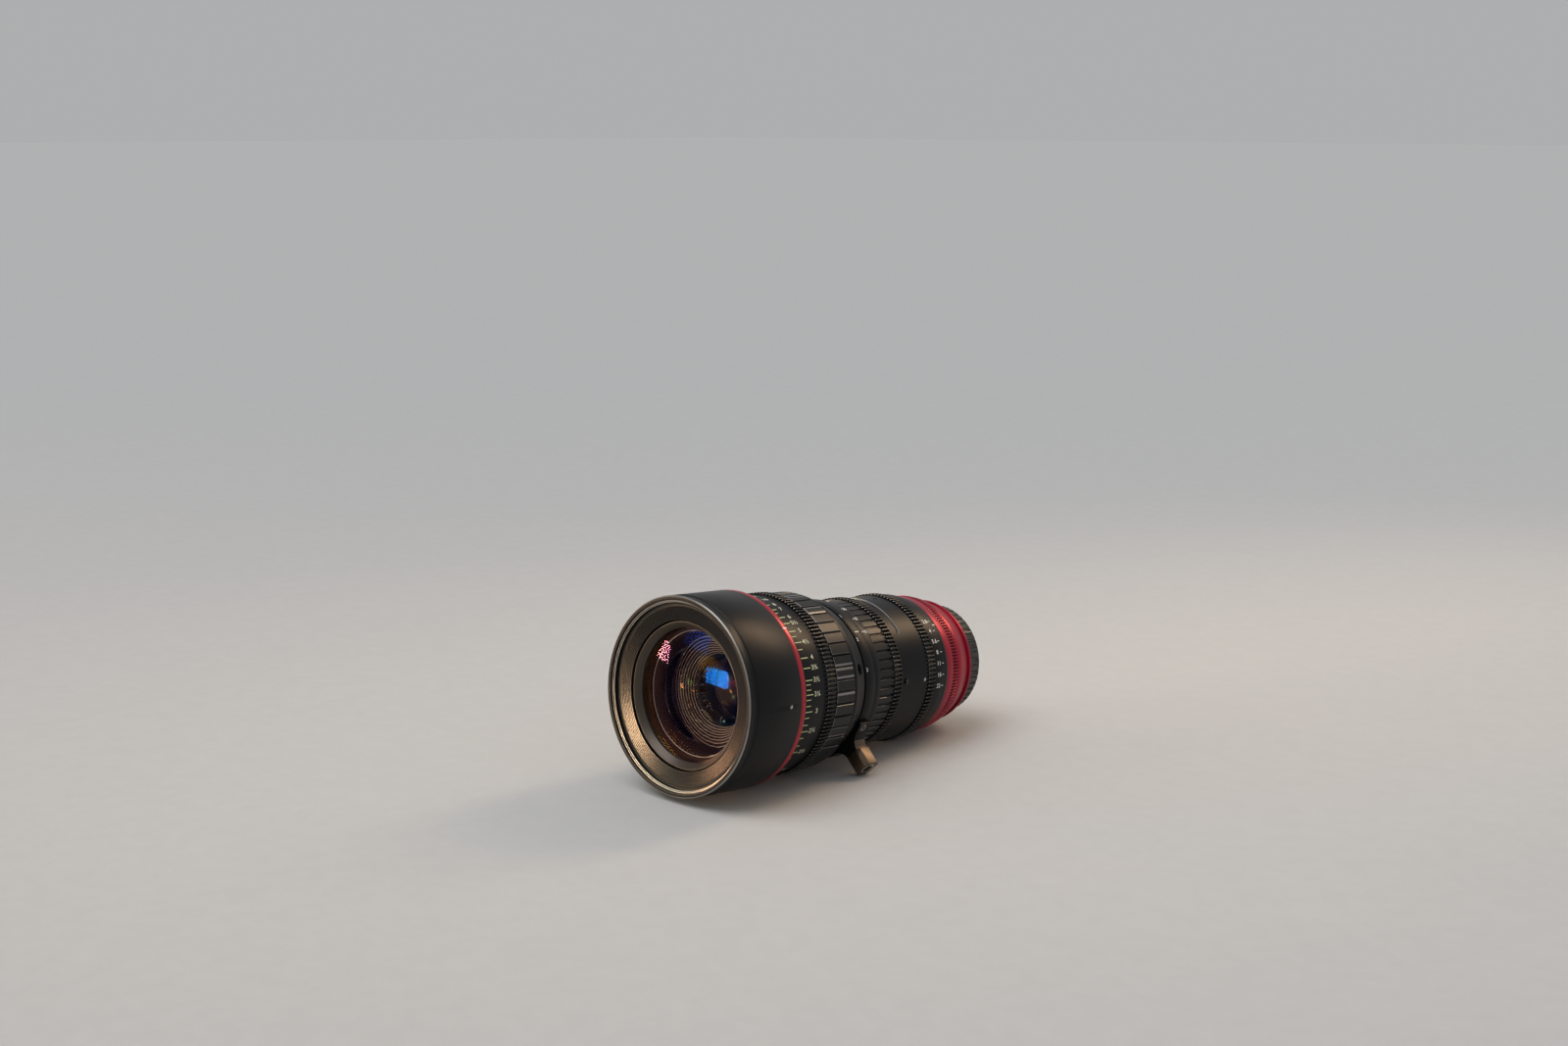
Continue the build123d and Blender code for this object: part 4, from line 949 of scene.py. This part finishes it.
for words, place, roll in (("1", 107.2, 29.0), ("2", 107.6, 51.4), ("3", 108.2, 74.8)):
    centre_marks.append(figure(words, place, roll, neck_radius, height=2.2))
join_marks("centre_barrel_marks", centre_marks, white_enamel, "lens_barrel")
focus_index = dash(40.8, 43.0, front_radius, length=3.2, width=0.8)
join_marks("focus_index_mark", [focus_index], white_enamel, "lens_barrel")


# Support foot.
# A blackened steel bracket screwed to the centre barrel: a curved saddle, a narrow neck, and a square block
# with a threaded insert in its end. The neck and the block are painted a warm brown metal, a painted warm
# highlight.
def softened_copy(node, name, edge_width):
    """A copy of a CAD piece, its triangles merged to whole faces and its edges broken."""
    flat_angle = 2
    edge_angle = 30
    source = frame["nodes"][node]
    bpy.ops.object.select_all(action="DESELECT")
    piece = bpy.data.objects.new(name, source.data.copy())
    piece.data.name = name
    bpy.context.scene.collection.objects.link(piece)
    piece.select_set(True)
    bpy.context.view_layer.objects.active = piece
    bpy.ops.object.mode_set(mode="EDIT")
    bpy.ops.mesh.select_all(action="SELECT")
    bpy.ops.mesh.remove_doubles(threshold=weld_distance * MM)
    bpy.ops.mesh.dissolve_limited(angle_limit=radians(flat_angle))
    close_piece(piece, edge_width, edge_angle)
    return piece


# Warm brown metal painted on the neck and block as their warm highlight.
foot_warm_highlight_paint = metal_finish(
    "foot_steel_painted_warm_highlight",
    light=(0.14, 0.098, 0.062),
    dark=(0.080, 0.058, 0.040),
    metallic=0.7,
    roughness=0.36,
    turning=0.0,
    grain=0.9,
)
foot_bracket = softened_copy("foot_bracket", "foot_bracket_dressed", edge_width=0.3)
dress(foot_bracket, foot_warm_highlight_paint, "lens_barrel", ["foot_bracket"])
second_finish(foot_bracket, barrel_black, lambda place, radius, roll, normal: radius < 51)
foot_block = softened_copy("foot_block", "foot_block_dressed", edge_width=0.3)
dress(foot_block, foot_warm_highlight_paint, "lens_barrel", ["foot_block"])


# Zoom ring: the scale.
# A black anodised aluminium sleeve that turns behind the centre barrel. Its focal lengths are filled with
# white paint, on a short raised land in front of the grip.
zoom_land = 45.0
zoom_scale = turned(
    "zoom_scale_sleeve",
    [
        (114.9, 42.1),
        (114.9, 44.5),
        (115.4, zoom_land),
        (121.2, zoom_land),
        (121.2, 42.9),
        (140.4, 42.9),
        (140.4, 42.1),
    ],
)
dress(zoom_scale, barrel_black, "zoom_ring", ["zoom_scale_ring"])
zoom_marks = []
zoom_numbers = {
    "16": 45, "18": 32, "20": 19, "24": 1, "28": -17, "32": -35, "35": -49, "40": -70, "45": -91, "47": -100
}
for words, roll in zoom_numbers.items():
    zoom_marks.append(figure(words, 119.0, roll, zoom_land, height=2.3))
    zoom_marks.append(dash(116.4, roll, zoom_land, length=1.6, width=0.4))
join_marks("zoom_length_marks", zoom_marks, white_enamel, "zoom_ring")


# Zoom grip and gear.
# A black anodised grip with narrower bars and wider gaps than the focus grip, then the middle one of the
# three gear bands. Both are seated on the sleeve of the zoom ring.
zoom_pad = pad_tooth(base=43.7, top=44.5, groove_share=0.34)
zoom_grip = toothed("zoom_grip_pads", zoom_pad, 52, front=121.2, back=134.2, bore=42.95, lead_in=0.18)
dress(zoom_grip, grip_black, "zoom_ring", ["zoom_grip"])
# The pads' edges get pale metal, a painted highlight.
paint_crest_highlights(zoom_grip, 44.5)
# The groove floors get the darker barrel black, painted shade.
second_finish(zoom_grip, barrel_black, lambda place, radius, roll, normal: radius < 43.95)
rear_teeth = 112
rear_tooth = gear_tooth(rear_teeth)
zoom_gear = toothed("zoom_gear_teeth", rear_tooth, rear_teeth, front=134.2, back=140.4, bore=42.95)
dress(zoom_gear, gear_black, "zoom_ring", ["zoom_gear"])
paint_crest_highlights(zoom_gear, gear_tip(rear_teeth), lean=0.3)


# Rear barrel.
# A fixed shell between the zoom and iris rings, turned in aluminium and anodised black. A shallow recess
# with rounded ends is milled behind the zoom gear, and small screws hold the shell.
rear_radius = 44.5
rear_barrel = turned(
    "rear_barrel_shell",
    [
        (140.7, 44.3),
        (140.9, rear_radius),
        (165.5, rear_radius),
        (165.7, 44.3),
        (165.7, 41.85),
        (140.7, 41.85),
    ],
    edge_width=0,
    sides=360,
)
recess_middle = 145.2
recess_half = 4.0
recess_rolls = (-24.5, 45.5)
recess_floor = 43.7
recess_length = radians(recess_rolls[1] - recess_rolls[0]) * rear_radius
cutter_height = 2

# The cutter of the recess is a long flat pad with round ends, bent round the barrel.
bpy.ops.object.select_all(action="DESELECT")
bpy.ops.mesh.primitive_grid_add(x_subdivisions=8, y_subdivisions=180, size=1)
recess = bpy.context.object
for vertex in recess.data.vertices:
    vertex.co.y *= recess_length + 2 * recess_half
    over = max(abs(vertex.co.y) - recess_length / 2, 0)
    vertex.co.x *= 2 * sqrt(max(recess_half**2 - over**2, 0.01))
    vertex.co *= MM
bpy.ops.object.mode_set(mode="EDIT")
bpy.ops.mesh.select_all(action="SELECT")
bpy.ops.mesh.extrude_region_move(TRANSFORM_OT_translate={"value": (0, 0, cutter_height * MM)})
bpy.ops.mesh.select_all(action="SELECT")
bpy.ops.mesh.normals_make_consistent(inside=False)
bpy.ops.object.mode_set(mode="OBJECT")
onto_barrel(recess, recess_middle, sum(recess_rolls) / 2, recess_floor)
bpy.ops.object.select_all(action="DESELECT")
bpy.context.view_layer.objects.active = rear_barrel
bpy.ops.object.modifier_add(type="BOOLEAN")
rear_barrel.modifiers["Boolean"].object = recess
bpy.ops.object.modifier_apply(modifier="Boolean")
bpy.data.objects.remove(recess)
drill(rear_barrel, 145.0, 88.0, radius=2.4, low=42.7, high=46)
for screw_place, screw_roll in ((163.3, 89.0), (158.7, 6.0), (158.7, 210.0)):
    drill(rear_barrel, screw_place, screw_roll, screw_radius, low=42.1, high=46)
dress(rear_barrel, barrel_black, "lens_barrel", ["rear_barrel"])


def on_recess_edge(place, radius, roll, normal):
    """The walls of the recess and of the hole, painted pale as their highlight."""
    return 43.75 < radius < 44.45 and 141.5 < place < 149.6 and abs(normal.dot(outward(roll))) < 0.5


# Pale metal painted on the recess walls as their highlight.
recess_highlight_paint = metal_finish(
    "recess_walls_painted_highlight",
    light=(0.50, 0.49, 0.47),
    dark=(0.38, 0.37, 0.36),
    metallic=0.3,
    roughness=0.42,
    turning=0.0,
)
second_finish(rear_barrel, recess_highlight_paint, on_recess_edge)


# Iris ring.
# A gear band on a black anodised sleeve, and behind it a narrow land with white aperture numbers that turn
# against the index on the next ring.
iris_gear = toothed("iris_gear_teeth", rear_tooth, rear_teeth, front=166.0, back=172.4, bore=42.95)
dress(iris_gear, gear_black, "iris_ring", ["iris_gear"])
paint_crest_highlights(iris_gear, gear_tip(rear_teeth), lean=0.3)
iris_land = 44.3
iris_scale = turned(
    "iris_scale_sleeve",
    [
        (166.0, 42.1),
        (166.0, 42.9),
        (172.4, 42.9),
        (172.4, 44.0),
        (172.7, iris_land),
        (181.7, iris_land),
        (182.0, 44.0),
        (182.0, 42.1),
    ],
)
dress(iris_scale, barrel_black, "iris_ring", ["iris_scale_ring"])
iris_marks = []
stops = ("22", "16", "11", "8", "5.6", "4", "2.8")
first_stop_roll = 96
stop_turn = 8.9
for position, words in enumerate(stops):
    stop_roll = first_stop_roll - stop_turn * position
    iris_marks.append(figure(words, 177.0, stop_roll, iris_land, height=2.6))
    iris_marks.append(dash(180.6, stop_roll, iris_land, length=1.6, width=0.4))
join_marks("aperture_marks", iris_marks, white_enamel, "iris_ring")


# Rear index ring.
# A fixed ring of black anodised aluminium on the rear tube, with one white index line for the iris scale.
index_ring = turned(
    "rear_index_ring_shell",
    [(182.3, 39.5), (182.3, 43.4), (186.9, 43.0), (186.9, 39.5)],
)
dress(index_ring, barrel_black, "lens_barrel", ["rear_index_ring"])
iris_index = dash(183.9, 45.8, 43.35, length=2.6, width=0.7)
join_marks("iris_index_mark", [iris_index], white_enamel, "lens_barrel")


# Red rear section.
# A smooth collar, the toothed lock ring that turns, and the tapered mount housing with a raised ridge, all
# turned in aluminium and anodised a deep metallic red.
rear_red = metal_finish(
    "deep_red_anodising",
    light=(0.34, 0.012, 0.036),
    dark=(0.27, 0.009, 0.027),
    metallic=0.5,
    roughness=0.35,
    specular=0.4,
    tint=(1, 0.9, 0.9),
    turning=0.08,
)
red_collar = turned(
    "red_collar_ring", [(186.9, 39.5), (186.9, 42.3), (187.1, 42.4), (192.9, 42.4), (192.9, 39.5)]
)
dress(red_collar, rear_red, "lens_barrel", ["red_collar"])
lock_tooth = [(0.08, 42.3), (0.30, 42.3), (0.52, 41.5), (0.86, 41.5)]
lock_ring = toothed("lock_ring_teeth", lock_tooth, 135, front=193.2, back=198.6, bore=39.75, lead_in=0.3)
dress(lock_ring, rear_red, "lock_ring", ["lock_ring"])
# Pale red painted on the lock ring's tooth crests as their highlight.
red_crest_highlight_paint = metal_finish(
    "red_crests_painted_highlight",
    light=(0.62, 0.16, 0.20),
    dark=(0.52, 0.11, 0.14),
    metallic=0.7,
    roughness=0.24,
    turning=0.1,
)
second_finish(lock_ring, red_crest_highlight_paint, lambda place, radius, roll, normal: 42.0 < radius < 42.25)
root_red = metal_finish(
    "shaded_red_roots",
    light=(0.050, 0.003, 0.008),
    dark=(0.035, 0.002, 0.006),
    metallic=0.3,
    roughness=0.5,
    specular=0.2,
    turning=0.0,
)
second_finish(lock_ring, root_red, lambda place, radius, roll, normal: radius < 41.85)
mount_housing = turned(
    "red_mount_housing_shell",
    [
        (173.0, 36.05),
        (199.9, 36.05),
        (199.9, 37.3),
        (213.0, 33.4),
        (216.7, 28.2),
        (219.2, 28.2),
        (219.2, 32.55),
        (221.0, 32.55),
        (221.0, 34.0),
        (220.4, 34.6),
        (216.0, 36.8),
        (216.0, 38.3),
        (214.4, 38.3),
        (214.4, 37.0),
        (213.0, 37.4),
        (208.0, 39.1),
        (202.5, 41.3),
        (198.9, 41.3),
        (198.9, 39.45),
        (173.0, 39.45),
    ],
)
dress(mount_housing, rear_red, "lens_barrel", ["red_mount_housing"])


# Rear cap.
# A moulded black plastic cap with fine ribs along its side and a plain end. Lugs inside it catch the claws
# of the bayonet.
def plastic_finish(name, light, dark, roughness):
    """Moulded plastic with a fine even grain."""
    material = bpy.data.materials.new(name)
    material.use_nodes = True
    shader = material.node_tree.nodes["Principled BSDF"]
    coordinates = new_node(material, "ShaderNodeTexCoord")
    grain = new_node(material, "ShaderNodeTexNoise", Scale=2200, Detail=3)
    material.node_tree.links.new(coordinates.outputs["Object"], grain.inputs["Vector"])
    tone = new_node(material, "ShaderNodeValToRGB")
    tone.color_ramp.elements[0].color = (*dark, 1)
    tone.color_ramp.elements[1].color = (*light, 1)
    material.node_tree.links.new(grain.outputs["Fac"], tone.inputs["Fac"])
    material.node_tree.links.new(tone.outputs["Color"], shader.inputs["Base Color"])
    gloss = new_node(material, "ShaderNodeMapRange", To_Min=roughness - 0.08, To_Max=roughness + 0.08)
    material.node_tree.links.new(grain.outputs["Fac"], gloss.inputs["Value"])
    material.node_tree.links.new(gloss.outputs["Result"], shader.inputs["Roughness"])
    relief = new_node(material, "ShaderNodeBump", Strength=0.4, Distance=0.00003)
    material.node_tree.links.new(grain.outputs["Fac"], relief.inputs["Height"])
    material.node_tree.links.new(relief.outputs["Normal"], shader.inputs["Normal"])
    return material


cap_plastic = plastic_finish(
    "moulded_black_plastic",
    light=(0.016, 0.016, 0.017),
    dark=(0.010, 0.010, 0.011),
    roughness=0.42,
)
rear_cap = softened_copy("rear_cap", "rear_cap_dressed", edge_width=0)
dress(rear_cap, cap_plastic, "rear_cap", ["rear_cap"])


# Pieces that show as they were machined.
# Screws, keys, tubes, cells and blades keep their CAD solids and get the finish of their real metal.
bright_steel = metal_finish(
    "bright_turned_steel",
    light=(0.62, 0.61, 0.60),
    dark=(0.52, 0.51, 0.50),
    metallic=1.0,
    roughness=0.26,
    turning=0.5,
)
screw_steel = metal_finish(
    "grey_screw_steel",
    light=(0.34, 0.33, 0.32),
    dark=(0.22, 0.21, 0.21),
    metallic=1.0,
    roughness=0.35,
    turning=0.0,
)
blade_steel = metal_finish(
    "blued_blade_steel",
    light=(0.055, 0.052, 0.055),
    dark=(0.035, 0.034, 0.038),
    metallic=0.8,
    roughness=0.38,
    turning=0.0,
)
turned_brass = metal_finish(
    "turned_brass",
    light=(0.72, 0.50, 0.22),
    dark=(0.60, 0.41, 0.17),
    metallic=1.0,
    roughness=0.30,
    turning=0.4,
)
glass_nodes = ("focus_element", "variator_element", "compensator_element", "relay_element")
steel_nodes = ("bayonet_mount", "mount_screws", "foot_thread_insert", "barrel_screws")
pin_nodes = ("focus_followers", "variator_followers", "compensator_followers", "zoom_key", "iris_key")
brass_nodes = ("zoom_cam_tube", "iris_drive_ring")
for node, solid in frame["nodes"].items():
    if node in glass_nodes:
        finish = inner_coated
    elif node in steel_nodes or node in pin_nodes:
        finish = bright_steel
    elif node == "foot_screws":
        finish = screw_steel
    elif node in brass_nodes:
        finish = turned_brass
    elif node.startswith("iris_blade"):
        finish = blade_steel
    else:
        finish = barrel_black
    solid.data.materials.clear()
    solid.data.materials.append(finish)
